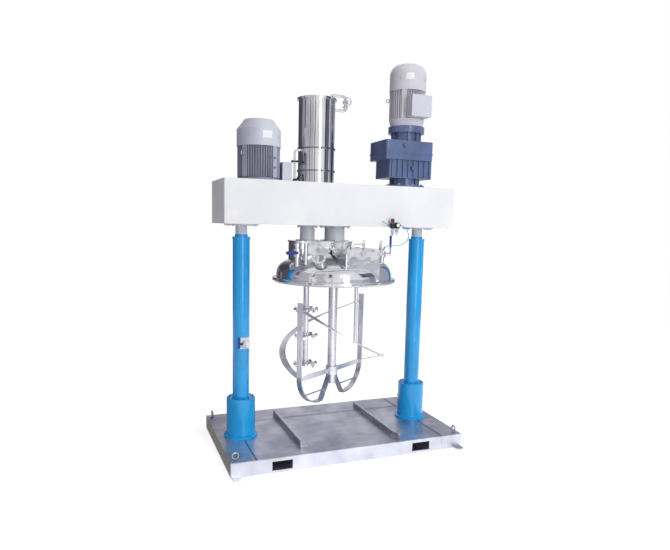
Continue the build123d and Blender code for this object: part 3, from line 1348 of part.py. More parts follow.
# Cross arms, the sloping plates from the shaft's foot to the bars, and the thin ties
plate_top = (FRAME_R - 4, FRAME_END_Z + 95)
plate_foot = (BAR_INNER, bend_z - BAR_BEND_R + BAR_T / 2)
plate_run = math.hypot(plate_foot[0] - plate_top[0], plate_top[1] - plate_foot[1])
nx = (plate_top[1] - plate_foot[1]) / plate_run * BAR_T / 2
nz = (plate_foot[0] - plate_top[0]) / plate_run * BAR_T / 2
bar_arc_x = bend_x + math.sqrt((BAR_BEND_R - BAR_T / 2) ** 2 - (bend_z - TIE_Z) ** 2)
share = (TIE_Z - plate_foot[1]) / (plate_top[1] - plate_foot[1])
tie_in = plate_foot[0] + (plate_top[0] - plate_foot[0]) * share
with BuildPart() as cross_arms:
    with BuildSketch(Plane.XY.offset(ARM_Z - FRAME_HUB_H / 2)):
        with Locations((FRAME_X, 0)):
            Circle(FRAME_HUB_R)
    extrude(amount=FRAME_HUB_H)
    with BuildSketch(bar_plane.offset(-ARM_T / 2)):
        with Locations((0, ARM_Z)):
            Rectangle(2 * inner, ARM_H)
    extrude(amount=ARM_T)
    with BuildSketch(bar_plane.offset(-BAR_W / 2)):
        for side in (-1, 1):
            with BuildLine():
                Polyline(
                    (side * (plate_top[0] - nx), plate_top[1] - nz),
                    (side * (plate_top[0] + nx), plate_top[1] + nz),
                    (side * (plate_foot[0] + nx), plate_foot[1] + nz * 0),
                    (side * (plate_foot[0] - 2 * nx), plate_foot[1] + nz * 0),
                    close=True,
                )
            make_face()
    extrude(amount=BAR_W)
    for side in (-1, 1):
        start = bar_plane.from_local_coords((side * (tie_in - 2), TIE_Z, 0))
        end = bar_plane.from_local_coords((side * (bar_arc_x - 1), TIE_Z, 0))
        with BuildSketch(Plane(origin=start, z_dir=end - start)):
            Circle(TIE_R)
        extrude(amount=(end - start).length)
    with BuildSketch(Plane.XY.offset(FRAME_END_Z)):
        with Locations((FRAME_X, 0)):
            Circle(FRAME_R)
    extrude(amount=300, mode=Mode.SUBTRACT)
    add(side_bars.part, mode=Mode.SUBTRACT)
finish(cross_arms, "cross_arms")


def ribbon(first_az, dip):
    """Half-turn ribbon: radial sections lofted down round the axis, cut to the bars at both ends."""
    with BuildPart() as strip:
        for step in range(RIBBON_STEPS + 1):
            t = step / RIBBON_STEPS
            az = math.radians(first_az + 180 * t)
            z = RIBBON_TOP + (RIBBON_END - RIBBON_TOP) * t - dip * math.sin(math.pi * t) ** 2
            outwards = Vector(math.cos(az), math.sin(az), 0)
            along = Vector(-math.sin(az), math.cos(az), 0)
            middle = (RIBBON_R0 + RIBBON_R1) / 2
            spot = Vector(FRAME_X, 0, z) + outwards * middle
            with BuildSketch(Plane(origin=spot, x_dir=outwards, z_dir=along)):
                Rectangle(RIBBON_R1 - RIBBON_R0, RIBBON_T)
        loft()
        with BuildSketch(bar_plane.offset(-BAR_W / 2)):
            with Locations((BAR_R, BASE_H + 1000), (-BAR_R, BASE_H + 1000)):
                Rectangle(160, 2000)
        extrude(amount=BAR_W, mode=Mode.SUBTRACT)
    return strip


finish(ribbon(BAR_AZ, FRONT_RIBBON_DIP), "ribbon_front")
finish(ribbon(BAR_AZ - 180, 0), "ribbon_rear")
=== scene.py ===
import math

import bmesh
import bpy
from mathutils import Euler, Matrix, Vector


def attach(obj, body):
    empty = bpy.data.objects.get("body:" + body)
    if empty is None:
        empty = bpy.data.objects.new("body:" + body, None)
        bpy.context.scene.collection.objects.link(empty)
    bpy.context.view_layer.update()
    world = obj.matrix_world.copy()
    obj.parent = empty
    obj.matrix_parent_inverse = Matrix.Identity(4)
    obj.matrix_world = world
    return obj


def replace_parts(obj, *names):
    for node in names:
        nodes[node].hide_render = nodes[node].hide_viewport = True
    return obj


# Twin-shaft mixer. Metres, +Z up, floor at z = 0, the front towards -Y.

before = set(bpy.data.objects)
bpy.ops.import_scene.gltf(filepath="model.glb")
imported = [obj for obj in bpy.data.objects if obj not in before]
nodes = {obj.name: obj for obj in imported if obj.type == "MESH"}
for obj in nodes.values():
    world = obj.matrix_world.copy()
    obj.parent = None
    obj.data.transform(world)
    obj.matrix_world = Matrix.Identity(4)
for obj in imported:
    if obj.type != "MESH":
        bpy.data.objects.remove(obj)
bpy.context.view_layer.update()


def linear(hex_colour):
    """sRGB hex to the linear values that shaders take."""
    shares = [int(hex_colour[i : i + 2], 16) / 255 for i in (1, 3, 5)]
    return tuple(s / 12.92 if s <= 0.04045 else ((s + 0.055) / 1.055) ** 2.4 for s in shares) + (1.0,)


def add_node(tree, kind, settings=None, links=None):
    """Add one node: settings name its properties or inputs, links feed its inputs."""
    made = tree.nodes.new(kind)
    for key, value in (settings or {}).items():
        if isinstance(key, str) and key in made.bl_rna.properties:
            setattr(made, key, value)
        else:
            made.inputs[key].default_value = value
    for key, source in (links or {}).items():
        tree.links.new(source, made.inputs[key])
    return made


def start_material(name, settings):
    """A material with its shader wired to the output; returns it with its tree and its shader."""
    made = bpy.data.materials.new(name)
    made.use_nodes = True
    tree = made.node_tree
    tree.nodes.clear()
    shader = add_node(tree, "ShaderNodeBsdfPrincipled", settings)
    add_node(tree, "ShaderNodeOutputMaterial", {}, {"Surface": shader.outputs[0]})
    return made, tree, shader


def surface(name, settings, tint, gloss, relief):
    """Material whose colour, roughness and bump each follow a noise on object coordinates.

    The first two values of each are its cell sizes in metres and its detail. A tint goes on with the
    noise's range and two hex colours, a gloss with the range and two roughnesses, and a relief with its
    depth in metres.
    """
    made, tree, shader = start_material(name, settings)
    place = add_node(tree, "ShaderNodeTexCoord").outputs["Object"]
    noises = []
    for cells, detail, *_ in (tint, gloss, relief):
        scale = tuple(1 / cell for cell in cells)
        sized = add_node(tree, "ShaderNodeMapping", {"Scale": scale}, {"Vector": place})
        noise = add_node(
            tree, "ShaderNodeTexNoise", {"Scale": 1.0, "Detail": detail}, {"Vector": sized.outputs[0]}
        )
        noises.append(noise.outputs["Fac"])
    ramp = add_node(tree, "ShaderNodeValToRGB", {}, {"Fac": noises[0]})
    for stop, position, colour in zip(ramp.color_ramp.elements, tint[2:4], tint[4:6]):
        stop.position = position
        stop.color = linear(colour)
    rough = add_node(
        tree,
        "ShaderNodeMapRange",
        {"From Min": gloss[2], "From Max": gloss[3], "To Min": gloss[4], "To Max": gloss[5]},
        {"Value": noises[1]},
    )
    bump = add_node(tree, "ShaderNodeBump", {"Strength": 1.0, "Distance": relief[2]}, {"Height": noises[2]})
    tree.links.new(ramp.outputs[0], shader.inputs["Base Color"])
    tree.links.new(rough.outputs[0], shader.inputs["Roughness"])
    tree.links.new(bump.outputs[0], shader.inputs["Normal"])
    return made


def paint(name, colours, roughness, peel, depth, coat=0.0):
    """Sprayed paint: a faint cloud in the colour, handling marks in the gloss, and orange peel."""
    return surface(
        name,
        {"IOR": 1.5, "Coat Weight": coat, "Coat Roughness": 0.08},
        ((0.35, 0.35, 0.6), 4.0, 0.35, 0.7, *colours),
        ((0.06, 0.06, 0.09), 6.0, 0.3, 0.75, *roughness),
        ((peel, peel, peel), 1.0, depth),
    )


def steel(name, colours, roughness, streak, wave, depth):
    """Bare metal: a cloud in the colour, streaks of grinding or rolling in the gloss, a wave in the sheet."""
    return surface(
        name,
        {"Metallic": 1.0},
        ((0.22, 0.22, 0.3), 3.0, 0.35, 0.68, *colours),
        (streak, 5.0, 0.3, 0.7, *roughness),
        (wave, 1.5, depth),
    )


def moulded(name, colours, roughness, grain, depth, settings=None):
    """Plastic, rubber or glass: one even grain in the colour, the gloss and the bump."""
    cells = (grain, grain, grain)
    return surface(
        name,
        {"IOR": 1.46, **(settings or {})},
        (cells, 3.0, 0.3, 0.7, *colours),
        (cells, 3.0, 0.3, 0.7, *roughness),
        (cells, 3.0, depth),
    )


# Two-pack polyurethane enamel, sprayed over filler: glossy, with orange peel about 4 mm across
COLUMN_BLUE = paint(
    "sprayed_blue_enamel", ("#0498E0", "#12AAF0"), (0.14, 0.28), peel=0.004, depth=0.00006, coat=0.25
)
# Powder coat, oven-cured: satin, with a fine grain that only takes the edge off the highlight. The grain of
# half a millimetre is drawn 3 mm across, so that it shows.
BEAM_WHITE = paint("white_powder_coat", ("#E2E3E7", "#EAEBEE"), (0.42, 0.55), peel=0.003, depth=0.0001)
# Casting enamel over cast aluminium: dull, and the sand grain of 3 to 4 mm shows through
MOTOR_GREY = paint("grey_casting_enamel", ("#BBBCCC", "#CDCEDB"), (0.42, 0.6), peel=0.0035, depth=0.0003)
# The same enamel on the finned body, duller, and darker as painted shade between the fins
MOTOR_BODY_GREY = paint(
    "dusty_grey_casting_enamel", ("#9C9EB2", "#B0B2C3"), (0.45, 0.62), peel=0.0035, depth=0.0003
)
# Warmer casting enamel on the gear motor, as dull as the other motor's
GEAR_MOTOR_GREY = paint(
    "warm_grey_casting_enamel", ("#C6C4CE", "#D4D2DB"), (0.4, 0.58), peel=0.0035, depth=0.0003
)
# Thick casting enamel over cast iron: slate blue, with a wet shine on a lumpy skin
GEARCASE_BLUE = paint(
    "slate_blue_casting_enamel", ("#4E5B7E", "#667AAA"), (0.25, 0.42), peel=0.005, depth=0.0005, coat=0.3
)
# Machine enamel, brushed on turned steel: pale grey with a soft shine
HOUSING_GREY = paint(
    "light_grey_machine_enamel", ("#C6C9D3", "#D6D9E1"), (0.3, 0.45), peel=0.003, depth=0.0001
)
# Air-drying enamel on sheet steel boxes: pale, even and half dull
BOX_GREY = paint("pale_grey_box_enamel", ("#C6C7D3", "#D2D3DE"), (0.38, 0.5), peel=0.003, depth=0.0001)

# Stainless sheet, ground and mirror-polished by hand: the wave of the wheel bends what it reflects
POLISHED = steel(
    "mirror_polished_stainless", ("#CFCFD4", "#E4E4E8"), (0.06, 0.19),
    streak=(0.09, 0.09, 0.09), wave=(0.13, 0.13, 0.1), depth=0.0045,
)
# Stainless sheet rolled and seamed to a tube: mirror bright, streaked along its height
CANISTER_STEEL = steel(
    "polished_rolled_stainless", ("#CBCACC", "#E2E1E3"), (0.05, 0.16),
    streak=(0.02, 0.02, 0.5), wave=(0.12, 0.12, 0.8), depth=0.0012,
)
# Flat stainless bar left pickled: dark and only half bright, with short lines from bending it to a hoop
BAND_STEEL = steel(
    "dark_pickled_stainless", ("#777C88", "#989DA8"), (0.18, 0.32),
    streak=(0.05, 0.05, 0.01), wave=(0.3, 0.3, 0.3), depth=0.0002,
)
# Flat bar and tube, belt-ground: lines along the length that blur the highlight. They are drawn 10 mm apart,
# where the belt leaves them under 1 mm, so that they show.
SATIN = steel(
    "belt_ground_stainless", ("#BDBDC6", "#D8D8DF"), (0.2, 0.36),
    streak=(0.01, 0.01, 0.12), wave=(0.3, 0.3, 0.3), depth=0.0005,
)
# Deck sheet, cold-rolled and walked on: dull, cloudy, with a grain along the plate. Its colour is painted
# darker than the sides', as painted shade on the top
DECK_SHEET = steel(
    "cold_rolled_stainless_deck", ("#AEAFBD", "#D6D7E0"), (0.3, 0.5),
    streak=(0.4, 0.02, 0.05), wave=(0.5, 0.5, 0.5), depth=0.0015,
)
# The same sheet folded for the base's sides, painted paler than the deck: painted light on the sides
SKIRT_SHEET = steel(
    "cold_rolled_stainless_skirt", ("#C4C5D3", "#DCDDE7"), (0.32, 0.5),
    streak=(0.4, 0.05, 0.02), wave=(0.5, 0.5, 0.5), depth=0.0015,
)
# Black-oxide cap screws, oiled: nearly black with a small soft highlight
BLACK_OXIDE = steel(
    "black_oxide_steel", ("#1E2028", "#343844"), (0.3, 0.45),
    streak=(0.01, 0.01, 0.01), wave=(0.02, 0.02, 0.02), depth=0.0001,
)
# Zinc-plated steel fasteners: a soft grey-white shine
ZINC = steel(
    "zinc_plated_steel", ("#A6A8AE", "#C6C8CE"), (0.25, 0.42),
    streak=(0.01, 0.01, 0.01), wave=(0.02, 0.02, 0.02), depth=0.0002,
)

# Dipped PVC sleeve: thick, slightly soft, with a dull shine
NAVY_GRIP = moulded("navy_dipped_vinyl", ("#0A2A86", "#12399F"), (0.35, 0.5), grain=0.004, depth=0.0002)
# Glass-filled nylon, moulded: black, dull, with a fine grain
BLACK_PLASTIC = moulded(
    "black_moulded_nylon", ("#17181C", "#26272D"), (0.35, 0.55), grain=0.002, depth=0.0001
)
# Plain nylon, moulded: clear red with a small shine
RED_PLASTIC = moulded("red_moulded_nylon", ("#B81E22", "#D03035"), (0.3, 0.45), grain=0.002, depth=0.0001)
# The same nylon in dark teal, on caps and push-in fittings
CAP_TEAL = moulded(
    "dark_teal_moulded_nylon", ("#1C3550", "#28496B"), (0.3, 0.45), grain=0.002, depth=0.0001
)
# Polyester moulding compound: pale grey, hard and a little shiny
SWITCH_SHELL = moulded(
    "pale_grey_moulded_polyester", ("#D6DAE2", "#E6E9EF"), (0.3, 0.45), grain=0.002, depth=0.0001
)
# Anodised aluminium plate in a white coat: flat and half dull
WHITE_PLATE = moulded(
    "white_anodised_plate", ("#E4E2E4", "#F1F0F1"), (0.35, 0.5), grain=0.003, depth=0.00003
)
# Printed enamel of a dial: white and smooth
GAUGE_FACE = moulded("white_printed_dial", ("#EDEDEB", "#F6F6F4"), (0.4, 0.5), grain=0.004, depth=0.00001)
# Pressed silicone: white, soft and dull
SEAL_RUBBER = moulded(
    "white_silicone_rubber", ("#CFCFCC", "#DEDEDB"), (0.45, 0.6), grain=0.003, depth=0.0001
)
# Neoprene belt over cord: black and dull, as worn by the pulleys
BELT_RUBBER = moulded("black_neoprene_belt", ("#121214", "#1E1E20"), (0.6, 0.75), grain=0.002, depth=0.0002)
# Polyurethane sealant, pressed in with a finger: dark grey and dull
SEALANT = moulded("grey_polyurethane_sealant", ("#4A4B54", "#5C5D66"), (0.5, 0.7), grain=0.004, depth=0.0002)
# Polyurethane air tube: pale blue, glossy and a little waxy
AIR_TUBE = moulded(
    "light_blue_polyurethane_tube", ("#3FA6DC", "#5BBBEA"), (0.15, 0.25),
    grain=0.01, depth=0.00005, settings={"IOR": 1.5},
)
# Clear PVC hose: milky, glossy, you see a little through it
CLEAR_HOSE = moulded(
    "clear_pvc_hose", ("#D9DEE2", "#EEF1F3"), (0.12, 0.2),
    grain=0.02, depth=0.0001, settings={"IOR": 1.53, "Transmission Weight": 0.55},
)
# Polycarbonate bowls: clear and faintly grey
BOWL_CLEAR = moulded(
    "clear_polycarbonate", ("#DDE4E8", "#F0F4F6"), (0.05, 0.1),
    grain=0.02, depth=0.00002, settings={"IOR": 1.58, "Transmission Weight": 0.8},
)
# Borosilicate disc: clear, with the greenish grey of a thick edge
SIGHT_PANE = moulded(
    "borosilicate_glass", ("#CBD6D6", "#DFE8E8"), (0.02, 0.05),
    grain=0.05, depth=0.00001, settings={"IOR": 1.47, "Transmission Weight": 0.85},
)

FINISHES = (
    (SKIRT_SHEET, ("base_frame",)),
    (DECK_SHEET, ("deck_plates",)),
    (COLUMN_BLUE, ("column_housing_left", "column_housing_right", "column_tube_left", "column_tube_right")),
    (SWITCH_SHELL, ("limit_switch",)),
    (HOUSING_GREY, ("lift_rod_left", "lift_rod_right", "disperser_bearing_housing", "frame_bearing_housing")),
    (BEAM_WHITE, ("beam_shell", "beam_bottom")),
    (ZINC, ("base_bolts", "lifting_eyes", "head_bolts")),
    (MOTOR_BODY_GREY, ("disperser_motor",)),
    (MOTOR_GREY, ("disperser_motor_cowl",)),
    (GEAR_MOTOR_GREY, ("gear_motor", "gear_motor_cowl")),
    (BOX_GREY, ("terminal_boxes",)),
    (GEARCASE_BLUE, ("gearcase",)),
    (CANISTER_STEEL, ("canister",)),
    (BAND_STEEL, ("canister_bands",)),
    (CLEAR_HOSE, ("sight_hose",)),
    (POLISHED, ("canister_lid", "vent_pipe", "lid_dome", "lid_pedestal", "lid_nozzles", "toothed_discs")),
    (POLISHED, ("port_neck", "port_cover", "sight_ring")),
    (SIGHT_PANE, ("sight_glass",)),
    (SEAL_RUBBER, ("lid_gasket",)),
    (BLACK_PLASTIC, ("air_unit",)),
    (CAP_TEAL, ("air_knob",)),
    (AIR_TUBE, ("air_hose",)),
    (BELT_RUBBER, ("disperser_belt", "frame_belt")),
    (SATIN, ("guide_rails", "anchor_lugs", "probe_tube", "motor_rotor", "gear_output", "vent_handwheel")),
    (SATIN, ("disperser_shaft", "disperser_pulley", "frame_shaft", "frame_pulley")),
    (SATIN, ("side_bars", "cross_arms", "ribbon_front", "ribbon_rear")),
    (SATIN, ("clamp_left", "clamp_middle", "clamp_right", "valve_lever_left", "valve_lever_right")),
)
for finish, node_names in FINISHES:
    for node_name in node_names:
        nodes[node_name].data.materials.clear()
        nodes[node_name].data.materials.append(finish)


def refinish(node_name, finish, chosen):
    """Give the faces of a node whose centre is chosen another finish."""
    mesh = nodes[node_name].data
    mesh.materials.append(finish)
    for face in mesh.polygons:
        if chosen(face.center):
            face.material_index = 1


COLUMN_ZONE_X = 0.8
ADAPTOR_TOP = 3.284
refinish("base_bolts", BLACK_OXIDE, lambda centre: abs(centre.x) > COLUMN_ZONE_X)
refinish("gear_motor", GEARCASE_BLUE, lambda centre: centre.z < ADAPTOR_TOP)


def new_piece(name, mesh, finish, body):
    """An object at the origin that wears one material and rides on a body."""
    piece = bpy.data.objects.new(name, mesh)
    bpy.context.scene.collection.objects.link(piece)
    mesh.materials.clear()
    mesh.materials.append(finish)
    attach(piece, body)
    return piece


def joined(name, meshes, finish, body, smooth=0.0):
    """One piece from several meshes, shaded smooth apart from edges sharper than an angle in degrees."""
    build = bmesh.new()
    for mesh in meshes:
        build.from_mesh(mesh)
    bmesh.ops.recalc_face_normals(build, faces=build.faces)
    if smooth:
        build.normal_update()
        for face in build.faces:
            face.smooth = True
        for edge in build.edges:
            edge.smooth = len(edge.link_faces) == 2 and edge.calc_face_angle(0.0) < math.radians(smooth)
    whole = bpy.data.meshes.new(name)
    build.to_mesh(whole)
    build.free()
    return new_piece(name, whole, finish, body)


def moved(mesh, centre, turn=(0, 0, 0)):
    """The mesh, turned by Euler angles in degrees and set at a point."""
    mesh.transform(Euler([math.radians(a) for a in turn]).to_matrix().to_4x4())
    mesh.transform(Matrix.Translation(centre))
    return mesh


def rounded_block(size, centre, edge, segments=3):
    """Block with rounded edges, centred on a point."""
    build = bmesh.new()
    bmesh.ops.create_cube(build, size=1.0)
    bmesh.ops.scale(build, vec=size, verts=build.verts)
    bmesh.ops.bevel(build, geom=build.edges[:], offset=edge, segments=segments, profile=0.5, affect="EDGES")
    mesh = bpy.data.meshes.new("block")
    build.to_mesh(mesh)
    build.free()
    mesh.transform(Matrix.Translation(centre))
    return mesh


def turned(profile, steps=48):
    """Mesh turned round Z from (radius, height) points; closed if it starts and ends on the axis."""
    build = bmesh.new()
    rings = []
    for radius, height in profile:
        if radius < 1e-6:
            rings.append([build.verts.new((0, 0, height))])
        else:
            ring = []
            for i in range(steps):
                angle = 2 * math.pi * i / steps
                ring.append(build.verts.new((radius * math.cos(angle), radius * math.sin(angle), height)))
            rings.append(ring)
    for low, high in zip(rings, rings[1:]):
        for i in range(steps):
            j = (i + 1) % steps
            if len(low) == 1 and len(high) == 1:
                continue
            if len(low) == 1:
                build.faces.new((low[0], high[j], high[i]))
            elif len(high) == 1:
                build.faces.new((low[i], low[j], high[0]))
            else:
                build.faces.new((low[i], low[j], high[j], high[i]))
    bmesh.ops.remove_doubles(build, verts=build.verts, dist=1e-6)
    bmesh.ops.recalc_face_normals(build, faces=build.faces)
    mesh = bpy.data.meshes.new("turned")
    build.to_mesh(mesh)
    build.free()
    return mesh


def stud(radius, height, tip=None, steps=32):
    """Round stud with its foot at z = 0; a tip is the radius and height of its narrower top."""
    profile = [(0, 0), (radius, 0), (radius, height)]
    if tip:
        profile.append(tip)
    return turned(profile + [(0, profile[-1][1])], steps)


def collar(inner, outer, height):
    """Flat ring with its foot at z = 0."""
    return turned([(inner, 0), (outer, 0), (outer, height), (inner, height), (inner, 0)], 40)


def wire_ring(reach, wire, around=40, across=14):
    """Ring of round wire, lying flat; reach is the radius of the wire's middle line."""
    profile = []
    for step in range(across + 1):
        angle = 2 * math.pi * step / across
        profile.append((reach + wire * math.cos(angle), wire * math.sin(angle)))
    return turned(profile, around)


def bent_plate(axis_x, radius, angles, heights, thickness):
    """Thin plate curved round an upright axis, between two angles in degrees and two heights."""
    build = bmesh.new()
    steps = 12
    outer = radius + thickness
    low, high = heights
    rows = []
    for i in range(steps + 1):
        a = math.radians(angles[0] + (angles[1] - angles[0]) * i / steps)
        corners = ((radius, low), (outer, low), (outer, high), (radius, high))
        rows.append([build.verts.new((axis_x + r * math.cos(a), r * math.sin(a), z)) for r, z in corners])
    for row, after in zip(rows, rows[1:]):
        for i in range(4):
            build.faces.new((row[i], row[(i + 1) % 4], after[(i + 1) % 4], after[i]))
    build.faces.new(rows[0])
    build.faces.new(reversed(rows[-1]))
    bmesh.ops.recalc_face_normals(build, faces=build.faces)
    mesh = bpy.data.meshes.new("plate")
    build.to_mesh(mesh)
    build.free()
    return mesh


def tube_curve(name, points, radius, steps, sides):
    """Round tube along the NURBS spline of some points, as a curve with closed ends."""
    curve = bpy.data.curves.new(name, "CURVE")
    curve.dimensions = "3D"
    spline = curve.splines.new("NURBS")
    spline.points.add(len(points) - 1)
    for spot, point in zip(spline.points, points):
        spot.co = (*point, 1.0)
    spline.order_u = 3
    spline.use_endpoint_u = True
    curve.resolution_u = steps
    curve.bevel_depth = radius
    curve.bevel_resolution = sides
    curve.use_fill_caps = True
    return curve


def short_tube(points, radius):
    """Mesh of a short tube that is held at both ends."""
    holder = bpy.data.objects.new("route", tube_curve("route", points, radius, 10, 5))
    bpy.context.scene.collection.objects.link(holder)
    bpy.context.view_layer.update()
    mesh = bpy.data.meshes.new_from_object(holder.evaluated_get(bpy.context.evaluated_depsgraph_get()))
    bpy.data.objects.remove(holder)
    return mesh


def screw_tree():
    """Tree for a ring of screw heads on washers round the origin; a tilt lays them outwards."""
    tree = bpy.data.node_groups.new("ring_of_heads", "GeometryNodeTree")
    for label, kind, value in (
        ("Count", "NodeSocketInt", 8),
        ("Spread", "NodeSocketFloat", 0.1),
        ("Start angle", "NodeSocketFloat", 0.0),
        ("Tilt", "NodeSocketFloat", 0.0),
        ("Head radius", "NodeSocketFloat", 0.01),
        ("Head height", "NodeSocketFloat", 0.008),
        ("Head sides", "NodeSocketInt", 6),
        ("Washer radius", "NodeSocketFloat", 0.012),
        ("Washer height", "NodeSocketFloat", 0.002),
    ):
        tree.interface.new_socket(label, in_out="INPUT", socket_type=kind).default_value = value
    tree.interface.new_socket("Material", in_out="INPUT", socket_type="NodeSocketMaterial")
    tree.interface.new_socket("Geometry", in_out="OUTPUT", socket_type="NodeSocketGeometry")
    given = add_node(tree, "NodeGroupInput").outputs
    index = add_node(tree, "GeometryNodeInputIndex").outputs[0]
    step = add_node(tree, "ShaderNodeMath", {"operation": "DIVIDE", 0: 2 * math.pi}, {1: given["Count"]})
    angle = add_node(
        tree,
        "ShaderNodeMath",
        {"operation": "MULTIPLY_ADD"},
        {0: index, 1: step.outputs[0], 2: given["Start angle"]},
    ).outputs[0]
    reach = []
    for share in ("COSINE", "SINE"):
        part = add_node(tree, "ShaderNodeMath", {"operation": share}, {0: angle})
        links = {0: part.outputs[0], 1: given["Spread"]}
        reach.append(add_node(tree, "ShaderNodeMath", {"operation": "MULTIPLY"}, links).outputs[0])
    spot = add_node(tree, "ShaderNodeCombineXYZ", {}, {"X": reach[0], "Y": reach[1]})
    turn = add_node(tree, "ShaderNodeCombineXYZ", {}, {"Y": given["Tilt"], "Z": angle})
    points = add_node(tree, "GeometryNodePoints", {}, {"Count": given["Count"], "Position": spot.outputs[0]})
    head = add_node(
        tree,
        "GeometryNodeMeshCylinder",
        {},
        {"Vertices": given["Head sides"], "Radius": given["Head radius"], "Depth": given["Head height"]},
    )
    washer = add_node(
        tree,
        "GeometryNodeMeshCylinder",
        {"Vertices": 20},
        {"Radius": given["Washer radius"], "Depth": given["Washer height"]},
    )
    head_mid = add_node(
        tree,
        "ShaderNodeMath",
        {"operation": "MULTIPLY_ADD", 1: 0.5},
        {0: given["Head height"], 2: given["Washer height"]},
    )
    half = {"operation": "MULTIPLY", 1: 0.5}
    washer_mid = add_node(tree, "ShaderNodeMath", half, {0: given["Washer height"]})
    screw = add_node(tree, "GeometryNodeJoinGeometry")
    for form, middle in ((head, head_mid), (washer, washer_mid)):
        rise = add_node(tree, "ShaderNodeCombineXYZ", {}, {"Z": middle.outputs[0]})
        links = {"Geometry": form.outputs["Mesh"], "Translation": rise.outputs[0]}
        raised = add_node(tree, "GeometryNodeTransform", {}, links)
        tree.links.new(raised.outputs[0], screw.inputs[0])
    placed = add_node(
        tree,
        "GeometryNodeInstanceOnPoints",
        {},
        {"Points": points.outputs[0], "Instance": screw.outputs[0], "Rotation": turn.outputs[0]},
    )
    real = add_node(tree, "GeometryNodeRealizeInstances", {}, {"Geometry": placed.outputs[0]})
    links = {"Geometry": real.outputs[0], "Material": given["Material"]}
    dressed = add_node(tree, "GeometryNodeSetMaterial", {}, links)
    add_node(tree, "NodeGroupOutput", {}, {"Geometry": dressed.outputs[0]})
    return tree


SCREW_TREE = screw_tree()


def screws(count, spread, start, head, washer, placement, tilt=0.0):
    """Zinc screws in a ring, from a start angle in degrees.

    A head is its radius, height and sides, a washer its radius and height, and a tilt is in radians.
    """
    values = {
        "Count": count,
        "Spread": spread,
        "Start angle": math.radians(start),
        "Tilt": tilt,
        "Head radius": head[0],
        "Head height": head[1],
        "Head sides": head[2],
        "Washer radius": washer[0],
        "Washer height": washer[1],
        "Material": ZINC,
    }
    seed = bpy.data.objects.new("seed", bpy.data.meshes.new("seed"))
    bpy.context.scene.collection.objects.link(seed)
    modifier = seed.modifiers.new("tree", "NODES")
    modifier.node_group = SCREW_TREE
    for item in SCREW_TREE.interface.items_tree:
        if item.in_out == "INPUT":
            modifier[item.identifier] = values[item.name]
    bpy.context.view_layer.update()
    ready = seed.evaluated_get(bpy.context.evaluated_depsgraph_get())
    mesh = bpy.data.meshes.new_from_object(ready)
    bpy.data.objects.remove(seed)
    mesh.transform(placement)
    return mesh


# Air hose: the same route as its solid, as a smooth spline
HOSE_RADIUS = 0.004
HOSE_ROUTE = [
    (0.563, -0.372, 2.270),
    (0.588, -0.372, 2.270),
    (0.628, -0.382, 2.232),
    (0.650, -0.386, 2.190),
    (0.654, -0.382, 2.144),
    (0.632, -0.374, 2.100),
    (0.586, -0.366, 2.076),
    (0.530, -0.358, 2.066),
    (0.478, -0.352, 2.066),
    (0.440, -0.347, 2.062),
    (0.412, -0.342, 2.045),
    (0.402, -0.338, 2.018),
]
hose_curve = tube_curve("air_hose_tube", HOSE_ROUTE, HOSE_RADIUS, 12, 6)
hose_curve.materials.append(AIR_TUBE)
air_hose = bpy.data.objects.new("air_hose_tube", hose_curve)
bpy.context.scene.collection.objects.link(air_hose)
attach(air_hose, "head")
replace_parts(air_hose, "air_hose")

# Camera, fitted to the photograph
YAW, PITCH, ROLL = 0.377, 0.127, 0.023
EYE = (-2.1696, -5.5417, 2.2751)
forward = Vector((math.sin(YAW) * math.cos(PITCH), math.cos(YAW) * math.cos(PITCH), -math.sin(PITCH)))
level = Vector((math.cos(YAW), -math.sin(YAW), 0))
upright = level.cross(forward)
right = level * math.cos(ROLL) + upright * math.sin(ROLL)
above = upright * math.cos(ROLL) - level * math.sin(ROLL)
lens = bpy.data.cameras.new("camera")
lens.sensor_fit = "HORIZONTAL"
lens.sensor_width = 36
lens.lens = 31.02
lens.shift_y = 0.0328
lens.clip_end = 200
camera = bpy.data.objects.new("camera", lens)
bpy.context.scene.collection.objects.link(camera)
gaze = Matrix((right, above, -forward)).transposed()
camera.matrix_world = Matrix.Translation(EYE) @ gaze.to_4x4()
bpy.context.scene.camera = camera


def sheet_mesh(name, corners):
    """Mesh of one four-sided face."""
    mesh = bpy.data.meshes.new(name)
    mesh.from_pydata(corners, [], [(0, 1, 2, 3)])
    return mesh


def level_mesh(name, span_x, span_y, height):
    """Level face between two x and two y."""
    (left, far_right), (front, back) = span_x, span_y
    corners = [(left, front), (far_right, front), (far_right, back), (left, back)]
    return sheet_mesh(name, [(x, y, height) for x, y in corners])


CARD_DISTANCE = 9.0
CARD_HEIGHT = 7.5


def wall_mesh(name, bearings, heights):
    """Upright face as far away as the cards, between two bearings in degrees and two heights."""
    ends = []
    for bearing in bearings:
        angle = math.radians(bearing)
        ends.append((CARD_DISTANCE * math.cos(angle), CARD_DISTANCE * math.sin(angle)))
    first, last = ends
    low, high = heights
    return sheet_mesh(name, [(*first, low), (*last, low), (*last, high), (*first, high)])


def seen_directly(tree):
    """Socket that is 1 for camera, glossy and transmission rays, and 0 for the rest."""
    rays = add_node(tree, "ShaderNodeLightPath").outputs
    seen = rays["Is Camera Ray"]
    for kind in ("Is Glossy Ray", "Is Transmission Ray"):
        seen = add_node(tree, "ShaderNodeMath", {"operation": "MAXIMUM"}, {0: seen, 1: rays[kind]}).outputs[0]
    return seen


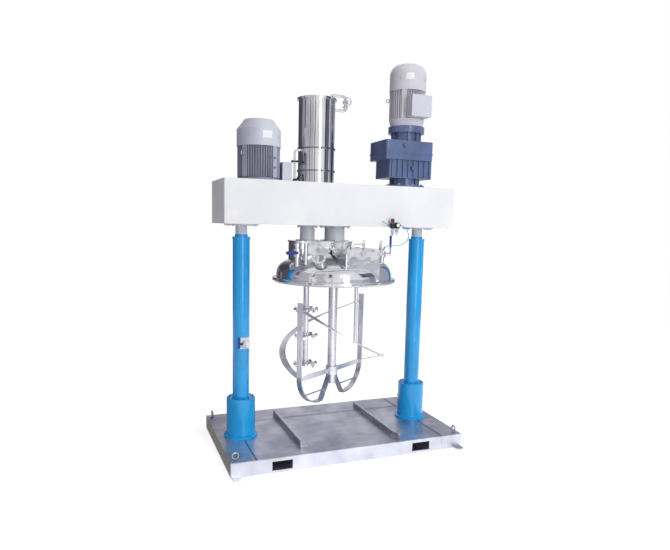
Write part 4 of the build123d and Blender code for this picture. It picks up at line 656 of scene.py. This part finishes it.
# Floor: white to the camera and in reflections, and it keeps the shadow
FLOOR_SPAN = (-60, 60)
FLOOR_GLOW = 0.62
floor_mesh = level_mesh("studio_floor", FLOOR_SPAN, FLOOR_SPAN, 0)
floor = bpy.data.objects.new("studio_floor", floor_mesh)
bpy.context.scene.collection.objects.link(floor)
floor_paper, floor_tree, floor_shader = start_material(
    "white_seamless_paper", {"Base Color": linear("#F6F6F8"), "Roughness": 0.9}
)
lift = {"operation": "MULTIPLY", 1: FLOOR_GLOW}
lift = add_node(floor_tree, "ShaderNodeMath", lift, {0: seen_directly(floor_tree)})
glow = add_node(floor_tree, "ShaderNodeEmission", {"Color": (1, 1, 1, 1)}, {"Strength": lift.outputs[0]})
both = add_node(floor_tree, "ShaderNodeAddShader", {}, {0: floor_shader.outputs[0], 1: glow.outputs[0]})
floor_out = [n for n in floor_tree.nodes if n.type == "OUTPUT_MATERIAL"][0]
floor_tree.links.new(both.outputs[0], floor_out.inputs["Surface"])
floor_mesh.materials.append(floor_paper)

# Studio: an even white room that lights the object softly, and white wherever it is seen directly
ROOM_LIGHT = 0.38
world = bpy.data.worlds.new("studio")
bpy.context.scene.world = world
world.use_nodes = True
room = world.node_tree
room.nodes.clear()
span = {"To Min": ROOM_LIGHT, "To Max": 1.0}
strength = add_node(room, "ShaderNodeMapRange", span, {"Value": seen_directly(room)})
sky = add_node(room, "ShaderNodeBackground", {"Color": (1, 1, 1, 1)}, {"Strength": strength.outputs[0]})
add_node(room, "ShaderNodeOutputWorld", {}, {"Surface": sky.outputs[0]})

# Soft rectangular lamps, which mirror-bright steel doesn't show: place, aim, size and watts
for name, spot, aim, size, power in (
    ("key_lamp", (1.6, -6.8, 3.4), (0.0, 0.0, 2.2), (1.0, 5.0), 235),
    ("top_lamp", (1.0, -2.0, 8.5), (0.0, 0.0, 1.5), (4.0, 4.0), 130),
    ("right_lamp", (6.5, -3.0, 4.0), (0.0, 0.0, 2.0), (2.0, 4.0), 55),
):
    light = bpy.data.lights.new(name, "AREA")
    light.shape = "RECTANGLE"
    light.size, light.size_y = size
    light.energy = power
    holder = bpy.data.objects.new(name, light)
    holder.visible_glossy = False
    bpy.context.scene.collection.objects.link(holder)
    towards = (Vector(aim) - Vector(spot)).to_track_quat("-Z", "Y")
    holder.matrix_world = Matrix.Translation(spot) @ towards.to_matrix().to_4x4()


def card(name, mesh, grey, fill=False, strength=1.0):
    """Grey studio card that polished surfaces see; a fill card also dims the light from its side."""
    board = bpy.data.objects.new(name, mesh)
    bpy.context.scene.collection.objects.link(board)
    made = bpy.data.materials.new(f"{name}_board")
    made.use_nodes = True
    tree = made.node_tree
    tree.nodes.clear()
    dull = add_node(tree, "ShaderNodeEmission", {"Color": linear(grey), "Strength": strength})
    add_node(tree, "ShaderNodeOutputMaterial", {}, {"Surface": dull.outputs[0]})
    mesh.materials.append(made)
    board.visible_camera = False
    board.visible_diffuse = fill
    board.visible_shadow = False
    board.visible_transmission = False


# Ring of cards round the object: bearings of both ends, heights, grey, and whether it is a fill card
HIGH, LOW, WHOLE = (2.9, CARD_HEIGHT), (0.0, 2.9), (0.0, CARD_HEIGHT)
for number, (first, last, heights, grey, fill) in enumerate(
    (
        (38, 54, WHOLE, "#A2A0AA", False),
        (54, 86, WHOLE, "#D4D2DC", False),
        (86, 99, WHOLE, "#77747E", False),
        (99, 128, HIGH, "#4B4751", False),
        (99, 109, LOW, "#7A7682", False),
        (109, 119, LOW, "#403C46", False),
        (119, 128, LOW, "#8C8892", False),
        (128, 150, WHOLE, "#5C5862", True),
        (150, 171, WHOLE, "#A9A4B0", True),
        (171, 177, HIGH, "#4C4852", True),
        (171, 177, (0.7, 1.9), "#5C5862", True),
        (177, 203, WHOLE, "#C2BFCB", True),
        (206, 212, HIGH, "#6A6670", False),
        (205, 209, (0.3, 1.5), "#8C8892", False),
        (214, 232, WHOLE, "#C9C8CE", False),
        (238, 243, HIGH, "#55525C", False),
        (244, 247, (0.9, 1.7), "#77747E", False),
        (278, 302, (0.0, 1.36), "#CFCDD8", False),
        (278, 302, (1.36, 1.47), "#8E99A6", False),
        (303, 312, HIGH, "#4A4E5C", False),
        (312, 336, HIGH, "#6C7282", False),
        (303, 321, (0.0, 1.8), "#B5B6C2", False),
        (321, 336, LOW, "#9A9CAA", False),
        (341, 398, WHOLE, "#B4B2C0", False),
    )
):
    card(f"card_{number}", wall_mesh(f"card_{number}", (first, last), heights), grey, fill)

# Bright window strip to the right of the camera, the long highlight on columns and canister
card("window_strip", wall_mesh("window_strip", (268, 277), (0.2, 6.5)), "#FFFFFF", strength=6.0)

# Grey-green floor at the left, which the base's end and the steel near it show
card("left_floor", level_mesh("left_floor", (-3.2, -1.204), (-1.2, 4.0), 0.004), "#85836F")

# Dark ceiling beams, which the dome and the lids show as curved bands
CEILING_Z = 8.6
for number, (front_y, width, grey) in enumerate(
    (
        (-6.5, 0.35, "#6A6872"),
        (-4.2, 0.6, "#4A4750"),
        (-1.8, 0.35, "#6A6872"),
        (1.0, 0.7, "#5A5862"),
        (4.0, 1.0, "#77757F"),
    )
):
    slab = level_mesh(f"ceiling_{number}", (-8, 8), (front_y, front_y + width), CEILING_Z)
    card(f"ceiling_{number}", slab, grey)

bpy.context.scene.view_settings.view_transform = "Standard"

# Axes and radii that the pieces below share with the solids
MOTOR_X, GEAR_MOTOR_X = -0.795, 0.785
MOTOR_COWL_R, GEAR_COWL_R = 0.2093, 0.1883
DISPERSER_X, FRAME_X = -0.291, 0.003
BASE_DECK_Z = 0.148

# Turns that stand a piece made round Z upright, its top towards the front, in degrees or as a tilt
FACING_FRONT = (90, 0, 0)
QUARTER = math.pi / 2

# Nameplates of the motors and a label plate on the beam, all bare
PLATE_GAP, PLATE_T = 0.0001, 0.0015
motor_plate = bent_plate(MOTOR_X, MOTOR_COWL_R + PLATE_GAP, (266.5, 291.4), (3.045, 3.112), PLATE_T)
joined("disperser_motor_plate", [motor_plate], WHITE_PLATE, "head")
gear_plate = bent_plate(GEAR_MOTOR_X, GEAR_COWL_R + PLATE_GAP, (235.2, 261.6), (3.735, 3.797), PLATE_T)
joined("gear_motor_plate", [gear_plate], WHITE_PLATE, "head")
beam_plate = rounded_block((0.098, 0.0012, 0.084), (-1.113, -0.3236, 2.337), 0.0005, 1)
joined("beam_plate", [beam_plate], WHITE_PLATE, "head")

# Valve levers' dipped grips; the left one ends in a ball
LEFT_LEVER_Y, LEFT_LEVER_Z = -0.2913, 1.985
left_grip = rounded_block((0.098, 0.018, 0.027), (-0.527, LEFT_LEVER_Y, LEFT_LEVER_Z), 0.0085, 4)
ball_profile = [
    (0, -0.017),
    (0.009, -0.0145),
    (0.0145, -0.009),
    (0.017, 0),
    (0.0145, 0.009),
    (0.009, 0.0145),
    (0, 0.017),
]
left_ball = moved(turned(ball_profile, 24), (-0.583, LEFT_LEVER_Y, LEFT_LEVER_Z))
joined("left_lever_grip", [left_grip, left_ball], NAVY_GRIP, "lever_left", 50)
right_grip = rounded_block((0.017, 0.027, 0.124), (0.5083, -0.275, 2.104), 0.0078, 4)
joined("right_lever_grip", [right_grip], NAVY_GRIP, "lever_right", 50)

# Air unit: two black heads on a bracket, clear bowls with drains, a gauge and push-in fittings
AIR_X, AIR_Y, AIR_Z = 0.500, -0.372, 2.260
HEAD_STEP = 0.024
REGULATOR_X, FILTER_X = AIR_X - HEAD_STEP, AIR_X + HEAD_STEP
heads = [rounded_block((0.046, 0.046, 0.046), (x, AIR_Y, AIR_Z), 0.007, 3) for x in (REGULATOR_X, FILTER_X)]
heads.append(rounded_block((0.092, 0.034, 0.030), (AIR_X, AIR_Y, AIR_Z), 0.004, 2))
heads.append(moved(stud(0.019, 0.008, (0.014, 0.013)), (FILTER_X, AIR_Y, AIR_Z + 0.0225)))
heads.append(moved(stud(0.0165, 0.012), (REGULATOR_X, AIR_Y, AIR_Z + 0.0225)))
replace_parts(joined("air_unit_heads", heads, BLACK_PLASTIC, "head", 40), "air_unit")
red_ring = moved(collar(0.0170, 0.0215, 0.009), (REGULATOR_X, AIR_Y, AIR_Z + 0.024))
joined("air_unit_red_ring", [red_ring], RED_PLASTIC, "head", 40)
bracket = rounded_block((0.070, 0.028, 0.030), (AIR_X, -0.3365, AIR_Z + 0.020), 0.002, 2)
joined("air_unit_bracket", [bracket], SATIN, "head")
BOWL_TOP = AIR_Z - 0.0235
bowls = []
drains = []
for bowl_x, depth in ((REGULATOR_X, 0.060), (FILTER_X, 0.050)):
    outer = [(0.0182, 0), (0.0182, -0.6 * depth), (0.0155, -0.85 * depth), (0.008, -depth), (0, -depth)]
    floor_z = -depth + 0.002
    inner = [(0, floor_z), (0.0068, floor_z), (0.0138, -0.84 * depth), (0.0163, -0.6 * depth), (0.0163, 0)]
    bowls.append(moved(turned(outer + inner + outer[:1], 40), (bowl_x, AIR_Y, BOWL_TOP)))
    drain = stud(0.0055, -0.013, (0.0035, -0.017), 20)
    drains.append(moved(drain, (bowl_x, AIR_Y, BOWL_TOP + 0.003 - depth)))
    drains.append(moved(stud(0.0085, -0.030, steps=20), (bowl_x, AIR_Y, BOWL_TOP)))
joined("air_unit_bowls", bowls, BOWL_CLEAR, "head", 60)
joined("air_unit_drains", drains, HOUSING_GREY, "head", 40)

# The air unit's gauge, a white dial with a needle in a black rim
GAUGE_X, GAUGE_Y, GAUGE_Z = 0.520, -0.3955, 2.270
DIAL_RISE = 0.010
gauge_shell = [collar(0.0185, 0.0215, 0.014), stud(0.0200, DIAL_RISE, steps=40)]
gauge_shell = [moved(mesh, (GAUGE_X, GAUGE_Y, GAUGE_Z), FACING_FRONT) for mesh in gauge_shell]
joined("gauge_rim", gauge_shell, BLACK_PLASTIC, "head", 40)
dial = moved(stud(0.0184, 0.0012, steps=40), (GAUGE_X, GAUGE_Y - DIAL_RISE, GAUGE_Z), FACING_FRONT)
joined("gauge_dial", [dial], GAUGE_FACE, "head")
needle_place = (GAUGE_X + 0.003, GAUGE_Y - 0.0118, GAUGE_Z + 0.003)
needle = rounded_block((0.0012, 0.0006, 0.015), needle_place, 0.0002, 1)
joined("gauge_needle", [needle], RED_PLASTIC, "head")

# Push-in fittings at both ends of the air unit, and the tube that comes to it out of the beam
fittings = []
for fitting_x, fitting_z, turn in ((0.5465, AIR_Z + 0.010, 90), (0.4535, AIR_Z + 0.006, -90)):
    fitting = stud(0.0085, 0.016, (0.0062, 0.018), 28)
    fittings.append(moved(fitting, (fitting_x, AIR_Y, fitting_z), (0, turn, 0)))
joined("air_fittings", fittings, CAP_TEAL, "head", 40)
SUPPLY_ROUTE = [
    (0.387, -0.3228, 2.304),
    (0.389, -0.337, 2.302),
    (0.402, -0.364, 2.289),
    (0.420, -0.372, 2.270),
    (0.4365, -0.372, 2.266),
]
joined("air_supply_stub", [short_tube(SUPPLY_ROUTE, HOSE_RADIUS)], AIR_TUBE, "head")

# Limit switch on the left column: a pale plate, a leaning white sensor body and a dark blue cable clip
SWITCH_X, SWITCH_Z = -0.946, 1.095
SENSOR_LEAN = 20.05352
plate = rounded_block((0.090, 0.005, 0.112), (SWITCH_X, -0.0851, SWITCH_Z), 0.002, 2)
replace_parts(joined("limit_switch_plate", [plate], SWITCH_SHELL, "base"), "limit_switch")
sensor = rounded_block((0.058, 0.036, 0.066), (0, 0, 0), 0.012, 2)
sensor = moved(sensor, (SWITCH_X + 0.010, -0.1055, SWITCH_Z - 0.006), (0, SENSOR_LEAN, 0))
cap = stud(0.020, 0.010, (0.016, 0.014), 8)
cap = moved(cap, (SWITCH_X + 0.012, -0.1225, SWITCH_Z - 0.002), FACING_FRONT)
joined("limit_switch_body", [sensor, cap], WHITE_PLATE, "base")
clip = rounded_block((0.018, 0.026, 0.104), (SWITCH_X - 0.053, -0.0880, SWITCH_Z + 0.004), 0.004, 2)
gland = stud(0.010, 0.026, (0.006, 0.030), 20)
gland = moved(gland, (SWITCH_X - 0.020, -0.098, SWITCH_Z - 0.004), (0, -90, 0))
joined("limit_switch_clip", [clip, gland], NAVY_GRIP, "base")
on_plate = Matrix.Translation((SWITCH_X, -0.0875, SWITCH_Z)) @ Matrix.Rotation(QUARTER, 4, "X")
corner_screws = screws(4, 0.058, 52, (0.0055, 0.004, 12), (0.008, 0.001), on_plate)
joined("limit_switch_screws", [corner_screws], ZINC, "base")

# Grey sealant pressed into the deck's seams, a hair proud of the sheet
SEAM_X, SEAM_Y, SEAM_Z = 0.962, 0.350, 0.1482
SEAM_W, SEAM_T = 0.005, 0.0012
DECK_EDGE_Y, HOUSING_EDGE_Y = 0.680, 0.168
seams = []
for side in (-1, 1):
    for end in (-1, 1):
        middle = end * (DECK_EDGE_Y + HOUSING_EDGE_Y) / 2
        size = (SEAM_W, DECK_EDGE_Y - HOUSING_EDGE_Y, SEAM_T)
        seams.append(rounded_block(size, (side * SEAM_X, middle, SEAM_Z), 0.0003, 1))
seams.append(rounded_block((2 * SEAM_X - 0.008, SEAM_W, SEAM_T), (0.0, SEAM_Y, SEAM_Z), 0.0003, 1))
joined("deck_seam_sealant", seams, SEALANT, "base")

# Lifting eyes, forged: a thick ring on a collar; the one at the front left faces the front
EYE_X, EYE_Y, EYE_Z = 1.145, 0.610, 0.1809
eyes = []
for side, end, facing in ((-1, -1, 0), (1, -1, 90), (-1, 1, 90), (1, 1, 90)):
    eyes.append(moved(wire_ring(0.0285, 0.0088), (side * EYE_X, end * EYE_Y, EYE_Z), (90, 0, facing)))
    eyes.append(moved(stud(0.019, 0.008, (0.012, 0.013)), (side * EYE_X, end * EYE_Y, BASE_DECK_Z)))
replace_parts(joined("forged_lifting_eyes", eyes, ZINC, "base", 40), "lifting_eyes")

# Eye nuts that tighten the swing clamps, and fixed ones along the back of the cover
for side, nut_x in (("left", -0.087), ("middle", 0.0855), ("right", 0.264)):
    nut = moved(wire_ring(0.0135, 0.0042, 28, 10), (nut_x, -0.556, 2.104), (90, 0, 20))
    joined(f"clamp_{side}_eye_nut", [nut], POLISHED, f"clamp_{side}", 40)
BACK_NUT_Y = -0.188
back_nuts = []
for nut_x in (-0.075, 0.0885, 0.252):
    back_nuts.append(moved(stud(0.013, 0.010, (0.009, 0.016), 24), (nut_x, BACK_NUT_Y, 2.0335)))
    back_nuts.append(moved(wire_ring(0.0135, 0.0042, 28, 10), (nut_x, BACK_NUT_Y, 2.062), (90, 0, 35)))
joined("cover_back_nuts", back_nuts, POLISHED, "head", 40)

# Drain hose: a black clamp bar half-way down and a black elbow at its foot
clamp_bar = rounded_block((0.078, 0.036, 0.017), (-0.446, -0.060, 2.862), 0.004, 3)
foot = moved(stud(0.021, 0.022, (0.015, 0.040)), (-0.452, -0.060, 2.657))
ELBOW_ROUTE = [
    (-0.448, -0.062, 2.676),
    (-0.430, -0.066, 2.690),
    (-0.412, -0.068, 2.716),
    (-0.400, -0.069, 2.744),
]
joined("drain_hose_clamps", [clamp_bar, foot, short_tube(ELBOW_ROUTE, 0.011)], BLACK_PLASTIC, "head", 45)

# Four bright cap screws on the disperser motor's front
MOTOR_PAD_R = 0.2045
front_screws = []
for bearing in (288.9, 302.5):
    for height in (2.783, 2.869):
        place = Matrix.Translation((MOTOR_X, 0, height))
        front_screws.append(
            screws(1, MOTOR_PAD_R, bearing, (0.0085, 0.008, 16), (0.011, 0.003), place, QUARTER)
        )
joined("motor_front_screws", front_screws, ZINC, "head")

# Small screws round the cowls' skirts
cowl_screws = []
for axis_x, radius, height, first in (
    (MOTOR_X, MOTOR_COWL_R, 3.064, 227.7),
    (GEAR_MOTOR_X, GEAR_COWL_R, 3.750, 217.9),
):
    place = Matrix.Translation((axis_x, 0, height))
    cowl_screws.append(screws(4, radius, first, (0.0065, 0.003, 12), (0.0085, 0.001), place, QUARTER))
joined("cowl_screws", cowl_screws, ZINC, "head")

# Flange bolts of the bearing housings, heads down, and nuts on the pedestal's top round their feet
HEADS_DOWN = Matrix.Rotation(math.pi, 4, "X")
HEADS_UP = Matrix.Identity(4)
flange_bolts = []
for axis_x, spread, count, height, flip in (
    (DISPERSER_X, 0.090, 6, 2.237, HEADS_DOWN),
    (FRAME_X, 0.138, 8, 2.237, HEADS_DOWN),
    (DISPERSER_X, 0.104, 8, 2.095, HEADS_UP),
    (FRAME_X, 0.132, 8, 2.095, HEADS_UP),
):
    place = Matrix.Translation((axis_x, 0, height)) @ flip
    flange_bolts.append(screws(count, spread, 22.5, (0.010, 0.010, 6), (0.012, 0.002), place))
joined("housing_flange_bolts", flange_bolts, ZINC, "head")
